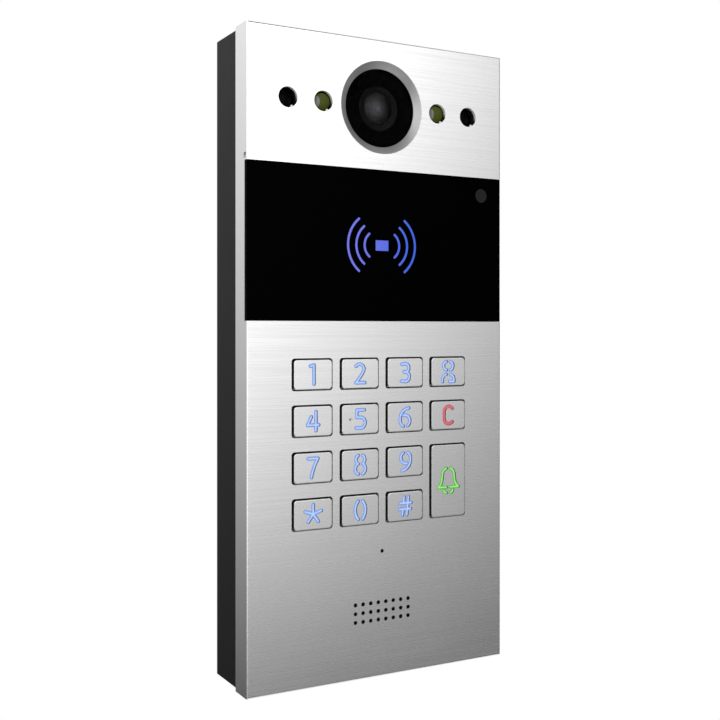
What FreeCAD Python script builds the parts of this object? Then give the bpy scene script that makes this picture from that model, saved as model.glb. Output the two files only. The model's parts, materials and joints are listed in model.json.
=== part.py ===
"""Door intercom panel: a parametric FreeCAD model of every piece, in millimetres.

+X is to the right as a visitor sees the panel, +Z is up and the front faces -Y. The wall is the plane y = 0.
The origin is the centre of the wall screw pattern. "Height" below always means height above the wall, so
a point at height 20 has y = -20, and each sketch lies on an XZ plane and is padded away from the wall.
"""

import FreeCAD, Part
import math
import os

import Sketcher

DIMENSIONS = {
    # whole panel
    "panel_width": 86.2,
    "panel_height": 188,
    "panel_depth": 23.6,
    # front cover, a deep aluminium tray
    "cover_skirt": 8.3,
    "cover_plate": 3.0,
    "cover_wall": 1.6,
    "edge_round": 0.6,
    "corner_radius": 1.5,
    "notch_reach": 0.9,
    "notch_height": 1.6,
    "notch_back": 2.4,
    "notch_front": 0.7,
    "notch_level": 56.9,
    # fits between pieces
    "close_fit": 0.05,
    "plain_fit": 0.1,
    "loose_fit": 0.2,
    "face_recess": 0.02,
    # display window and card reader symbol
    "window_height": 44.75,
    "window_level": 33.18,
    "window_thickness": 1.8,
    "window_gap": 0.06,
    "reader_opening_width": 60,
    "reader_opening_height": 34,
    "symbol_stroke": 0.72,
    "symbol_card_width": 4.35,
    "symbol_card_height": 3.07,
    "symbol_centre": 1.6,
    "symbol_inner_radius": 4.3,
    "symbol_radius_step": 2.75,
    "symbol_half_angle": 51,
    "symbol_plate_width": 30,
    "symbol_plate_height": 22,
    "sensor_offset": 35.6,
    "sensor_level": 50,
    "sensor_radius": 2.1,
    "reader_board_width": 74,
    "reader_board_height": 40,
    "reader_board_thickness": 1.0,
    "reader_board_floor": 19.2,
    # camera and its lamps
    "camera_level": 74,
    "bezel_outer_radius": 13.7,
    "bezel_inner_radius": 11.65,
    "bezel_depth": 1.2,
    "camera_glass_radius": 13.0,
    "camera_glass_thickness": 0.55,
    "camera_glass_top": 22.15,
    "lens_ring_radius": 6.55,
    "lens_ring_top": 21.55,
    "lens_radius": 4.85,
    "lens_top": 21.5,
    "lens_seat": 17.1,
    "lens_dome_radius": 14,
    "lens_lip": 0.5,
    "lamp_hole_radius": 3.0,
    "lamp_inner_offset": 19.4,
    "lamp_outer_offset": 30.6,
    "lamp_radius": 2.5,
    "lamp_foot_radius": 2.85,
    "lamp_foot_height": 1.0,
    "lamp_dome_radius": 6.5,
    "white_lamp_top": 23.3,
    "infrared_lamp_top": 20.9,
    "holder_width": 73,
    "holder_height": 19,
    "holder_floor": 15.0,
    "holder_top": 20.5,
    "surround_top": 21.5,
    "camera_board_width": 70,
    "camera_board_height": 19,
    "camera_board_floor": 11.4,
    "board_thickness": 1.6,
    # keypad
    "opening_width": 13.05,
    "opening_height": 9.3,
    "opening_radius": 0.95,
    "key_gap": 0.42,
    "key_radius": 1.05,
    "key_proud": 0.6,
    "key_bevel": 0.2,
    "key_pitch_across": 15.33,
    "key_pitch_down": 13.27,
    "top_row_level": -4.45,
    "rim_overhang": 1.1,
    "rim_thickness": 0.8,
    "rim_clearance": 0.15,
    "cap_front_wall": 1.0,
    "cap_side_wall": 0.6,
    "guide_clearance": 0.1,
    "plunger_radius": 1.5,
    "plunger_tip": 17.85,
    "stroke_width": 1.15,
    "stroke_core": 0.42,
    "stroke_bevel": 0.3,
    "stroke_recess": 0.05,
    "stroke_root": 0.3,
    "pip_radius": 0.45,
    "pip_sink": 0.05,
    "pip_offset": 3.2,
    "mat_width": 64,
    "mat_height": 56,
    "mat_floor": 16.6,
    "mat_sheet_floor": 17.6,
    "mat_top": 18.6,
    "mat_rim": 1.5,
    "mat_hole_radius": 2.0,
    "keypad_board_width": 74,
    "keypad_board_height": 62,
    "keypad_board_thickness": 1.2,
    "dome_foot_radius": 2.5,
    "dome_top_radius": 1.2,
    "dome_height": 0.35,
    "keypad_screw_offset": 34.5,
    "keypad_screw_rise": 27,
    # microphone and loudspeaker
    "microphone_level": -57,
    "microphone_hole_radius": 0.55,
    "microphone_radius": 2.0,
    "microphone_floor": 18.6,
    "microphone_top": 20.2,
    "boot_radius": 2.8,
    "speaker_level": -74.6,
    "speaker_radius": 14,
    "speaker_floor": 13.4,
    "speaker_basket_floor": 14.8,
    "speaker_rim_floor": 17.2,
    "speaker_top": 19.8,
    "speaker_basket_radius": 10,
    "speaker_magnet_radius": 6.5,
    "speaker_cone_radius": 11.6,
    "speaker_coil_radius": 4.0,
    "speaker_seal_width": 1.8,
    "basket_margin": 0.6,
    "basket_step": 0.8,
    "cone_skin": 0.4,
    "dust_cap_margin": 0.5,
    "dust_cap_swell": 1.5,
    "grille_hole_radius": 0.6,
    "grille_pitch": 2.56,
    "grille_columns": 8,
    "grille_rows": 3,
    # rear housing
    "housing_inset": 0.4,
    "housing_radius": 0.6,
    "housing_top": 15.2,
    "housing_back": 3.5,
    "bracket_recess": 1.5,
    "bracket_margin": 1,
    "pocket_wall": 1.5,
    "pilot_end": 0.5,
    "tongue_clearance": 0.25,
    "tongue_width": 1.6,
    "tongue_top": 19.1,
    "column_offset": 35.8,
    "column_level": 86.9,
    "column_radius": 3.0,
    "column_top": 11.8,
    "screw_radius": 1.22,
    "screw_hole_radius": 1.5,
    "screw_pilot_radius": 1.25,
    "screw_head_radius": 2.6,
    "screw_head_height": 2.0,
    "screw_sink": 7.0,
    "small_screw_radius": 0.98,
    "small_pilot_radius": 1.0,
    "small_hole_radius": 1.25,
    "small_head_radius": 2.0,
    "small_head_height": 1.3,
    "small_screw_length": 4.5,
    # main board
    "main_board_width": 74,
    "main_board_height": 137,
    "main_board_level": -10.5,
    "main_board_floor": 8.5,
    "main_screw_offset": 33.5,
    "main_screw_rise": 64.5,
    "shield_side": 28,
    "shield_offset": 14,
    "shield_level": 8,
    "shield_rise": 2.6,
    "chip_rise": 4.2,
    "capacitor_radius": 3.15,
    "capacitor_offset": 30,
    "capacitor_level": -24,
    "capacitor_pitch": 8,
    "capacitor_rise": 4.8,
    "terminal_width": 42,
    "terminal_height": 8.5,
    "terminal_level": 40,
    "terminal_top": 17.0,
    "terminal_ways": 12,
    "terminal_pitch": 3.5,
    "terminal_screw_radius": 1.2,
    "terminal_screw_sink": 1,
    "terminal_screw_drop": 1,
    "terminal_entry": 2.4,
    "terminal_entry_depth": 3,
    "socket_width": 16,
    "socket_height": 14,
    "socket_offset": -24,
    "socket_level": 24,
    "socket_floor": 4.8,
    "socket_top": 16.4,
    "socket_mouth_width": 11.8,
    "socket_mouth_height": 6.8,
    "socket_mouth_depth": 11,
    # wall bracket and its fixings
    "bracket_width": 70,
    "bracket_height": 170,
    "bracket_thickness": 1.2,
    "wall_screw_spacing_across": 48,
    "wall_screw_spacing_up": 124,
    "wall_slot_radius": 2.2,
    "wall_slot_length": 8,
    "head_pocket_width": 13,
    "head_pocket_height": 10,
    "head_pocket_top": 4.2,
    "hook_offset": 20,
    "hook_width": 10,
    "hook_level": 71.2,
    "hook_length": 6,
    "hook_top": 4.9,
    "hook_slot_height": 6.5,
    "hook_slot_level": 72.25,
    "lock_pocket_level": -86.5,
    "lock_pocket_width": 18,
    "lock_pocket_height": 5,
    "lock_pocket_top": 8.8,
    "lock_block_margin": 2.5,
    "lock_screw_height": 5.0,
    "lock_tab_width": 14,
    "lock_tab_level": -86.6,
    "lock_tab_top": 7.8,
    "lock_tail_rise": 1.2,
    "lock_screw_reach": 2,
    # cable entry
    "cable_level": 50,
    "cable_radius": 4.0,
    "grommet_neck_radius": 7.95,
    "grommet_rim_radius": 10,
    "grommet_floor": 0.3,
    "grommet_top": 4.7,
    "cable_hole_radius": 8,
    "cable_opening_radius": 11,
}

# Transformer, converters and processor on the main board, as (width, height, x, z).
CHIPS = [(12, 12, -18, -6), (14, 9, -20, -34), (14, 9, -20, -48), (12.5, 12.5, 14, -40)]

# Key centres as (column, row) in half pitches from the keypad's middle column and its top row.
KEYS = {
    "key_1": (-3, 0),
    "key_2": (-1, 0),
    "key_3": (1, 0),
    "key_user": (3, 0),
    "key_4": (-3, 2),
    "key_5": (-1, 2),
    "key_6": (1, 2),
    "key_clear": (3, 2),
    "key_7": (-3, 4),
    "key_8": (-1, 4),
    "key_9": (1, 4),
    "key_call": (3, 5),
    "key_star": (-3, 6),
    "key_0": (-1, 6),
    "key_hash": (1, 6),
}

# Legends as stroke centrelines about the key's centre: each point is (x, z, bulge of the run that follows),
# where a bulge is the tangent of a quarter of the arc's angle, positive anticlockwise, and 0 is straight.
SIX = [
    [(1.2, 2.65, 0.42), (-1.8, -0.9, 0.32), (-0.73, -2.65, 0)],
    [(-0.55, 0.5, -0.5), (1.55, -1.0, -0.32), (0.73, -2.6, 0)],
]
LEGENDS = {
    "key_1": [[(-0.9, 2.4, 0), (0.25, 2.7, 0), (0.25, -2.7, 0)]],
    "key_2": [[(-1.45, 2.15, -0.8), (1.2, 1.0, -0.08), (-1.5, -2.65, 0), (1.5, -2.65, 0)]],
    "key_3": [
        [(-1.3, 2.5, 0), (0.0, 2.65, -1), (0.0, 0.2, 0), (-0.5, 0.2, 0)],
        [(0.0, 0.2, -1), (0.0, -2.65, 0), (-1.4, -2.5, 0)],
    ],
    "key_4": [
        [(0.85, 2.7, 0), (0.85, -2.7, 0)],
        [(-0.6, 1.25, 0), (-1.8, -1.1, 0), (1.75, -1.1, 0)],
    ],
    "key_5": [
        [(1.3, 2.65, 0), (-1.15, 2.65, 0), (-1.2, 0.55, 0), (0.0, 0.55, -1), (0.0, -2.65, 0), (-1.4, -2.5, 0)]
    ],
    "key_6": SIX,
    "key_7": [[(-1.6, 2.65, 0), (1.5, 2.65, 0.08), (-0.6, -2.7, 0)]],
    "key_8": [
        [(-0.73, 2.7, 0.6), (-0.75, 0.25, 0.65), (-0.73, -2.7, 0)],
        [(0.73, 2.7, -0.6), (0.75, 0.25, -0.65), (0.73, -2.7, 0)],
    ],
    "key_9": [[(-x, -z, bulge) for x, z, bulge in stroke] for stroke in SIX],
    "key_0": [
        [(-0.73, 2.65, 0.37), (-0.73, -2.65, 0)],
        [(0.73, 2.65, -0.37), (0.73, -2.65, 0)],
    ],
    "key_star": [
        [(0, 0.1, 0), (2.7 * math.cos(turn), 0.1 + 2.7 * math.sin(turn), 0)]
        for turn in [math.radians(90 + 72 * arm) for arm in range(5)]
    ],
    "key_hash": [
        [(-0.6, 0.9, 0), (-0.4, 2.7, 0)],
        [(-1.0, -2.7, 0), (-0.8, -0.9, 0)],
        [(0.5, -2.7, 0), (1.1, 2.7, 0)],
        [(-1.8, 0.9, 0), (2.0, 0.9, 0)],
        [(-2.0, -0.9, 0), (1.8, -0.9, 0)],
    ],
    "key_clear": [
        [
            (1.45, 2.05, 0.22),
            (0.15, 2.65, 0.414),
            (-1.5, 1.0, 0),
            (-1.5, -1.0, 0.414),
            (0.15, -2.65, 0.22),
            (1.45, -2.05, 0),
        ]
    ],
    "key_user": [
        [(-0.7, 3.05, 0.8), (-0.7, 0.5, 0)],
        [(0.7, 3.05, -0.8), (0.7, 0.5, 0)],
        [(-0.75, -0.85, 0.3), (-2.1, -2.2, 0), (-2.1, -3.0, 0)],
        [(0.75, -0.85, -0.3), (2.1, -2.2, 0), (2.1, -3.0, 0), (0.4, -3.0, 0)],
    ],
    "key_call": [
        [(-0.73, 3.7, 0.28), (-2.1, 1.9, 0), (-2.4, -0.4, -0.13), (-3.65, -2.05, 0), (-0.73, -2.05, 0)],
        [(0.73, 3.7, -0.28), (2.1, 1.9, 0), (2.4, -0.4, 0.13), (3.65, -2.05, 0), (0.73, -2.05, 0)],
        [(-1.65, -2.95, 0.33), (-0.75, -3.75, 0)],
        [(1.65, -2.95, -0.33), (0.75, -3.75, 0)],
    ],
}

document = FreeCAD.newDocument("intercom_panel")


class Length:
    """A size in millimetres, kept both as a number and as the sheet expression that gives it."""

    def __init__(self, number, text):
        self.number = number
        self.text = text

    def combine(self, other, sign, number):
        return Length(number, f"({self.text} {sign} {length(other).text})")

    def __add__(self, other):
        return self.combine(other, "+", self.number + length(other).number)

    def __sub__(self, other):
        return self.combine(other, "-", self.number - length(other).number)

    def __mul__(self, other):
        return self.combine(other, "*", self.number * length(other).number)

    def __truediv__(self, other):
        return self.combine(other, "/", self.number / length(other).number)

    def __radd__(self, other):
        return length(other) + self

    def __rsub__(self, other):
        return length(other) - self

    def __rmul__(self, other):
        return length(other) * self

    def __neg__(self):
        return self * -1


def length(value):
    """Turns a plain number into a Length, and leaves a Length alone."""
    if isinstance(value, Length):
        return value
    return Length(float(value), f"({float(value):.6f})")


class Sizes:
    """Reads the sheet's named cells as Lengths: size.panel_width and so on."""

    def __getattr__(self, name):
        return Length(float(DIMENSIONS[name]), f"Sizes.{name}")


size = Sizes()


def make_sheet():
    """Writes the driving dimensions into the document's spreadsheet, one named cell each."""
    sheet = document.addObject("Spreadsheet::Sheet", "Sizes")
    for row, (name, value) in enumerate(DIMENSIONS.items(), start=1):
        sheet.set(f"A{row}", name)
        sheet.set(f"B{row}", str(value))
        sheet.setAlias(f"B{row}", name)
    document.recompute()


def bind(item, path, value):
    """Ties one property of a document object to the sheet."""
    item.setExpression(path, length(value).text)


# Places worked out from the sheet

FRONT = size.panel_depth
PLATE_BACK = FRONT - size.cover_plate
SKIRT_EDGE = FRONT - size.cover_skirt
LEDGE = FRONT - size.window_thickness
KEY_WIDTH = size.opening_width - size.key_gap * 2
KEY_HEIGHT = size.opening_height - size.key_gap * 2
KEY_FRONT = FRONT + size.key_proud
RIM_TOP = PLATE_BACK - size.rim_clearance
RIM_BACK = RIM_TOP - size.rim_thickness
KEYPAD_LEVEL = size.top_row_level - size.key_pitch_down * 1.5
BOARD_TOP = size.main_board_floor + size.board_thickness
TONGUE_WIDTH = size.panel_width - (size.cover_wall + size.tongue_clearance) * 2
TONGUE_HEIGHT = size.panel_height - (size.cover_wall + size.tongue_clearance) * 2
INSIDE_WIDTH = TONGUE_WIDTH - size.tongue_width * 2
INSIDE_HEIGHT = TONGUE_HEIGHT - size.tongue_width * 2
SCREW_END = PLATE_BACK - size.screw_head_height
SPARE = 1.0  # how far a cutting shape runs past the face it opens


def corners(across, up, middle=0):
    """The four corners of a rectangle with these half sizes, as (x, z) pairs."""
    return [(x_sign * across, middle + z_sign * up) for x_sign in (-1, 1) for z_sign in (-1, 1)]


def key_centre(name):
    column, row = KEYS[name]
    return size.key_pitch_across * (column / 2), size.top_row_level - size.key_pitch_down * (row / 2)


def is_tall(name):
    return name == "key_call"


def extra_height(name):
    """The tall key covers two rows, so it is one pitch taller than the others."""
    return size.key_pitch_down if is_tall(name) else length(0)


# Sketch outlines: each returns a function that draws one closed outline in a sketch


def disc(radius, x=0, z=0):
    """A circle."""

    def draw(sketch):
        centre = FreeCAD.Vector(length(x).number, length(z).number, 0)
        item = sketch.addGeometry(Part.Circle(centre, FreeCAD.Vector(0, 0, 1), length(radius).number), False)
        constrain(sketch, "Radius", radius, item)
        constrain(sketch, "DistanceX", x, -1, 1, item, 3)
        constrain(sketch, "DistanceY", z, -1, 1, item, 3)

    return draw


def rectangle(width, height, x=0, z=0, radius=None):
    """A rectangle about (x, z), with round corners if a radius is given."""
    width, height, x, z = length(width), length(height), length(x), length(z)

    def draw_sharp(sketch):
        left, right = (x - width / 2).number, (x + width / 2).number
        low, high = (z - height / 2).number, (z + height / 2).number
        points = [FreeCAD.Vector(*at, 0) for at in ((left, low), (right, low), (right, high), (left, high))]
        lines = [Part.LineSegment(points[i], points[(i + 1) % 4]) for i in range(4)]
        first = sketch.addGeometry(lines, False)[0]
        for side in range(4):
            sketch.addConstraint(
                Sketcher.Constraint("Coincident", first + side, 2, first + (side + 1) % 4, 1)
            )
            direction = "Vertical" if side % 2 else "Horizontal"
            sketch.addConstraint(Sketcher.Constraint(direction, first + side))
        constrain(sketch, "DistanceX", width, first, 1, first, 2)
        constrain(sketch, "DistanceY", height, first + 1, 1, first + 1, 2)
        constrain(sketch, "DistanceX", x - width / 2, -1, 1, first, 1)
        constrain(sketch, "DistanceY", z - height / 2, -1, 1, first, 1)

    def draw_round(sketch):
        turn = length(radius).number
        left, right = (x - width / 2).number, (x + width / 2).number
        low, high = (z - height / 2).number, (z + height / 2).number
        ends = [
            ((left + turn, low), (right - turn, low)),
            ((right, low + turn), (right, high - turn)),
            ((right - turn, high), (left + turn, high)),
            ((left, high - turn), (left, low + turn)),
        ]
        centres = [
            (right - turn, low + turn),
            (right - turn, high - turn),
            (left + turn, high - turn),
            (left + turn, low + turn),
        ]
        items = []
        for side, (begin, finish) in enumerate(ends):
            items.append(Part.LineSegment(FreeCAD.Vector(*begin, 0), FreeCAD.Vector(*finish, 0)))
            circle = Part.Circle(FreeCAD.Vector(*centres[side], 0), FreeCAD.Vector(0, 0, 1), turn)
            start = math.radians(90 * side - 90)
            items.append(Part.ArcOfCircle(circle, start, start + math.pi / 2))
        first = sketch.addGeometry(items, False)[0]
        for side in range(4):
            line, arc, following = first + 2 * side, first + 2 * side + 1, first + (2 * side + 2) % 8
            sketch.addConstraint(Sketcher.Constraint("Tangent", line, 2, arc, 1))
            sketch.addConstraint(Sketcher.Constraint("Tangent", arc, 2, following, 1))
            direction = "Vertical" if side % 2 else "Horizontal"
            sketch.addConstraint(Sketcher.Constraint(direction, line))
            if side:
                sketch.addConstraint(Sketcher.Constraint("Equal", first + 1, arc))
        constrain(sketch, "Radius", radius, first + 1)
        constrain(sketch, "DistanceX", width - radius * 2, first, 1, first, 2)
        constrain(sketch, "DistanceY", height - radius * 2, first + 2, 1, first + 2, 2)
        constrain(sketch, "DistanceX", x - width / 2 + radius, -1, 1, first, 1)
        constrain(sketch, "DistanceY", z - height / 2, -1, 1, first, 1)

    return draw_sharp if radius is None else draw_round


def slot(long, radius, x=0, z=0):
    """A slot with round ends, lying across, centred on (x, z)."""
    reach = length(long) / 2 - radius

    def draw(sketch):
        middle, level, turn = length(x).number, length(z).number, length(radius).number
        left, right = middle - reach.number, middle + reach.number
        items = []
        for centre, end, side in ((left, right, -1), (right, left, 1)):
            begin = FreeCAD.Vector(centre, level - side * turn, 0)
            finish = FreeCAD.Vector(centre, level + side * turn, 0)
            outermost = FreeCAD.Vector(centre + side * turn, level, 0)
            items.append(Part.Arc(begin, outermost, finish))
            items.append(Part.LineSegment(finish, FreeCAD.Vector(end, level + side * turn, 0)))
        first = sketch.addGeometry(items, False)[0]
        for number in range(4):
            following = first + (number + 1) % 4
            sketch.addConstraint(Sketcher.Constraint("Tangent", first + number, 2, following, 1))
        sketch.addConstraint(Sketcher.Constraint("Horizontal", first + 1))
        sketch.addConstraint(Sketcher.Constraint("Equal", first, first + 2))
        constrain(sketch, "Radius", radius, first)
        constrain(sketch, "DistanceX", x - reach, -1, 1, first, 3)
        constrain(sketch, "DistanceX", x + reach, -1, 1, first + 2, 3)
        constrain(sketch, "DistanceY", z, -1, 1, first, 3)

    return draw


def constrain(sketch, kind, value, *places):
    """Adds one dimension to a sketch and ties it to the sheet."""
    index = sketch.addConstraint(Sketcher.Constraint(kind, *places, length(value).number))
    bind(sketch, f"Constraints[{index}]", value)


# PartDesign bodies


def new_body(label):
    body = document.addObject("PartDesign::Body", label)
    body.Label = label
    return body


def attach(body, feature, role, offset):
    """Puts a sketch or a primitive on one of its own body's origin planes, moved along the plane's normal."""
    plane = next(item for item in body.Origin.OriginFeatures if item.Role == role)
    feature.AttachmentSupport = (plane, [""])
    feature.MapMode = "FlatFace"
    bind(feature, "AttachmentOffset.Base.z", offset)


def new_sketch(body, role, offset, outlines):
    sketch = body.newObject("Sketcher::SketchObject", f"{body.Name}_outline")
    attach(body, sketch, role, offset)
    for outline in outlines:
        outline(sketch)
    return sketch


def add(body, low, high, outlines):
    """Pads outlines between two heights above the wall."""
    pad = body.newObject("PartDesign::Pad", f"{body.Name}_pad")
    pad.Profile = new_sketch(body, "XZ_Plane", low, outlines)
    bind(pad, "Length", length(high) - low)


def cut(body, low, high, outlines):
    """Pockets outlines between two heights above the wall, starting at the upper one."""
    pocket = body.newObject("PartDesign::Pocket", f"{body.Name}_pocket")
    pocket.Profile = new_sketch(body, "XZ_Plane", high, outlines)
    bind(pocket, "Length", length(high) - low)


def cut_level(body, low, high, outlines):
    """Pockets outlines given in (x, y), upwards between two levels."""
    pocket = body.newObject("PartDesign::Pocket", f"{body.Name}_pocket")
    pocket.Profile = new_sketch(body, "XY_Plane", high, outlines)
    bind(pocket, "Length", length(high) - low)


def cut_cone(body, low, high, low_radius, high_radius, x, z):
    """Cuts a cone whose axis stands on the wall."""
    cone = body.newObject("PartDesign::SubtractiveCone", f"{body.Name}_cone")
    attach(body, cone, "XZ_Plane", low)
    bind(cone, "AttachmentOffset.Base.x", x)
    bind(cone, "AttachmentOffset.Base.y", z)
    bind(cone, "Radius1", low_radius)
    bind(cone, "Radius2", high_radius)
    bind(cone, "Height", length(high) - low)


def dress_front(body, kind, amount, wanted=lambda edge: True):
    """Rounds or bevels the body's foremost edges; kind is Fillet or Chamfer."""
    document.recompute()
    base = body.Tip
    shape = base.Shape
    front = shape.BoundBox.YMin
    tolerance = 1e-4
    names = [
        f"Edge{number}"
        for number, edge in enumerate(shape.Edges, start=1)
        if edge.BoundBox.YMax < front + tolerance and wanted(edge)
    ]
    feature = body.newObject(f"PartDesign::{kind}", f"{body.Name}_{kind.lower()}")
    feature.Base = (base, names)
    bind(feature, "Radius" if kind == "Fillet" else "Size", amount)


# Part primitives and booleans


def cylinder(name, radius, low, high, x=0, z=0):
    """A cylinder that stands on the wall's normal between two heights."""
    item = document.addObject("Part::Cylinder", name)
    bind(item, "Radius", radius)
    bind(item, "Height", length(high) - low)
    stand(item, low, x, z)
    return item


def cone(name, low_radius, high_radius, low, high, x=0, z=0):
    item = document.addObject("Part::Cone", name)
    bind(item, "Radius1", low_radius)
    bind(item, "Radius2", high_radius)
    bind(item, "Height", length(high) - low)
    stand(item, low, x, z)
    return item


def ball(name, radius, height, x=0, z=0):
    item = document.addObject("Part::Sphere", name)
    bind(item, "Radius", radius)
    stand(item, height, x, z)
    return item


def box(name, width, height, low, high, x=0, z=0):
    """A box centred on (x, z) between two heights above the wall."""
    item = document.addObject("Part::Box", name)
    bind(item, "Length", width)
    bind(item, "Width", length(high) - low)
    bind(item, "Height", height)
    place(item, length(x) - length(width) / 2, -length(high), length(z) - length(height) / 2)
    return item


def place(item, x, y, z):
    bind(item, "Placement.Base.x", x)
    bind(item, "Placement.Base.y", y)
    bind(item, "Placement.Base.z", z)


def stand(item, low, x, z):
    """Turns a primitive's own axis away from the wall and sets its foot at a height."""
    item.Placement = FreeCAD.Placement(FreeCAD.Vector(), FreeCAD.Rotation(FreeCAD.Vector(1, 0, 0), 90))
    place(item, x, -length(low), z)


def joined(name, items):
    fuse = document.addObject("Part::MultiFuse", name)
    fuse.Shapes = items
    fuse.Label = name
    return fuse


def without(name, base, tool):
    difference = document.addObject("Part::Cut", name)
    difference.Base = base
    difference.Tool = tool
    difference.Label = name
    return difference


# Strokes of the legends and of the reader symbol


def stroke_profile(width, core, low, shoulder, high):
    """Half of a stroke's section as (distance from the centreline, height): a bevel from shoulder to high."""
    return [(0, low), (width / 2, low), (width / 2, shoulder), (core / 2, high), (0, high)]


def stroke_solid(strokes, profile):
    """Carries a section along every stroke and turns it round every point, then joins them all."""
    axis = FreeCAD.Vector(0, 1, 0)
    solids = []

    def section(point, sideways, both):
        half = [point + sideways * offset - axis * height for offset, height in profile]
        if not both:
            return Part.Face(Part.makePolygon(half + half[:1]))
        other = [point - sideways * offset - axis * height for offset, height in profile]
        ring = half[1:-1] + other[1:-1][::-1]
        return Part.Face(Part.makePolygon(ring + ring[:1]))

    for stroke in strokes:
        points = [FreeCAD.Vector(x, 0, z) for x, z, _ in stroke]
        for point in points:
            solids.append(section(point, FreeCAD.Vector(1, 0, 0), False).revolve(point, axis, 360))
        for (begin, finish), (_, _, bulge) in zip(zip(points, points[1:]), stroke):
            chord = finish - begin
            sideways = FreeCAD.Vector(chord.z, 0, -chord.x).normalize()
            if not bulge:
                solids.append(section(begin, sideways, True).extrude(chord))
                continue
            angle = 4 * math.atan(bulge)
            centre = (begin + finish) / 2 - sideways * (chord.Length / 2 / math.tan(angle / 2))
            outwards = (begin - centre).normalize()
            face = section(begin, outwards, True)
            solids.append(face.revolve(centre, axis, -math.degrees(angle)))
    return solids[0].fuse(solids[1:]).removeSplitter()


def solid_feature(name, shape):
    item = document.addObject("Part::Feature", name)
    item.Shape = shape
    item.Placement = FreeCAD.Placement()
    return item


# Front cover and window


def front_cover():
    body = new_body("front_cover")
    add(body, SKIRT_EDGE, FRONT, [rectangle(size.panel_width, size.panel_height)])
    dress_front(body, "Fillet", size.edge_round)
    inside = rectangle(
        size.panel_width - size.cover_wall * 2,
        size.panel_height - size.cover_wall * 2,
        radius=size.corner_radius,
    )
    cut(body, SKIRT_EDGE, PLATE_BACK, [inside])
    cut(
        body,
        LEDGE,
        FRONT,
        [rectangle(size.panel_width + SPARE * 2, size.window_height, 0, size.window_level)],
    )
    notches = [
        rectangle(size.notch_reach * 2, size.notch_height, side * size.panel_width / 2, size.notch_level)
        for side in (-1, 1)
    ]
    cut(body, FRONT - size.notch_back, FRONT - size.notch_front, notches)
    reader_opening = rectangle(
        size.reader_opening_width, size.reader_opening_height, 0, size.window_level, size.corner_radius
    )
    sensor_opening = disc(size.sensor_radius + size.loose_fit, size.sensor_offset, size.sensor_level)
    cut(body, PLATE_BACK, LEDGE, [reader_opening, sensor_opening])
    camera_seat = disc(size.camera_glass_radius + size.loose_fit, 0, size.camera_level)
    cut(body, PLATE_BACK, size.camera_glass_top, [camera_seat])
    cut(body, PLATE_BACK, FRONT, [disc(size.bezel_inner_radius, 0, size.camera_level)])
    cut_cone(
        body,
        FRONT - size.bezel_depth,
        FRONT,
        size.bezel_inner_radius,
        size.bezel_outer_radius,
        0,
        size.camera_level,
    )
    lamp_holes = [
        disc(size.lamp_hole_radius, side * offset, size.camera_level)
        for side in (-1, 1)
        for offset in (size.lamp_inner_offset, size.lamp_outer_offset)
    ]
    cut(body, PLATE_BACK, FRONT, lamp_holes)
    key_openings = [
        rectangle(
            size.opening_width,
            size.opening_height + extra_height(name),
            *key_centre(name),
            radius=size.opening_radius,
        )
        for name in KEYS
    ]
    cut(body, PLATE_BACK, FRONT, key_openings)
    columns, rows = DIMENSIONS["grille_columns"], DIMENSIONS["grille_rows"]
    grille = [
        disc(
            size.grille_hole_radius,
            size.grille_pitch * (column - (columns - 1) / 2),
            size.speaker_level + size.grille_pitch * (row - (rows - 1) / 2),
        )
        for column in range(columns)
        for row in range(rows)
    ]
    microphone_hole = disc(size.microphone_hole_radius, 0, size.microphone_level)
    cut(body, PLATE_BACK, FRONT, [*grille, microphone_hole])
    boss_foot = size.column_top + size.loose_fit
    cover_bosses = corners(size.column_offset, size.column_level)
    add(body, boss_foot, PLATE_BACK, [disc(size.column_radius, *at) for at in cover_bosses])
    cut(body, boss_foot, PLATE_BACK - SPARE, [disc(size.screw_pilot_radius, *at) for at in cover_bosses])
    keypad_posts = corners(size.keypad_screw_offset, size.keypad_screw_rise, KEYPAD_LEVEL)
    post_foot = size.mat_floor
    add(body, post_foot, PLATE_BACK, [disc(size.small_head_radius, *at) for at in keypad_posts])
    pilots = [disc(size.small_pilot_radius, *at) for at in keypad_posts]
    cut(body, post_foot, PLATE_BACK - size.pilot_end, pilots)
    return body


def symbol_strokes():
    """Three arcs each side of a card, about one centre per side."""
    strokes = []
    half = math.radians(DIMENSIONS["symbol_half_angle"])
    for side in (-1, 1):
        for step in range(3):
            radius = DIMENSIONS["symbol_inner_radius"] + DIMENSIONS["symbol_radius_step"] * step
            x = side * (DIMENSIONS["symbol_centre"] + radius * math.cos(half))
            rise = radius * math.sin(half)
            strokes.append([(x, -rise, side * math.tan(half / 2)), (x, rise, 0)])
    return strokes


def symbol_cutter(name, low, high):
    """The card and the arcs as one group of solids between two heights, at the window's middle."""
    width = DIMENSIONS["symbol_stroke"]
    profile = stroke_profile(width, width, low.number, high.number - DIMENSIONS["plain_fit"], high.number)
    arcs = solid_feature(f"{name}_arcs", stroke_solid(symbol_strokes(), profile))
    bind(arcs, "Placement.Base.z", size.window_level)
    card = box(
        f"{name}_card",
        size.symbol_card_width,
        size.symbol_card_height,
        low,
        high,
        0,
        size.window_level,
    )
    return [arcs, card]


def window_panel():
    body = new_body("window_blank")
    width = size.panel_width - size.window_gap * 2
    height = size.window_height - size.window_gap * 2
    add(body, LEDGE, FRONT, [rectangle(width, height, 0, size.window_level)])
    dress_front(body, "Fillet", size.edge_round, lambda edge: edge.BoundBox.XLength < 1)
    sensor_hole = disc(size.sensor_radius + size.close_fit, size.sensor_offset, size.sensor_level)
    cut(body, LEDGE, FRONT, [sensor_hole])
    tools = joined("window_cutter", symbol_cutter("window", LEDGE - SPARE, FRONT + SPARE))
    return without("window_panel", body, tools)


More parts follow.
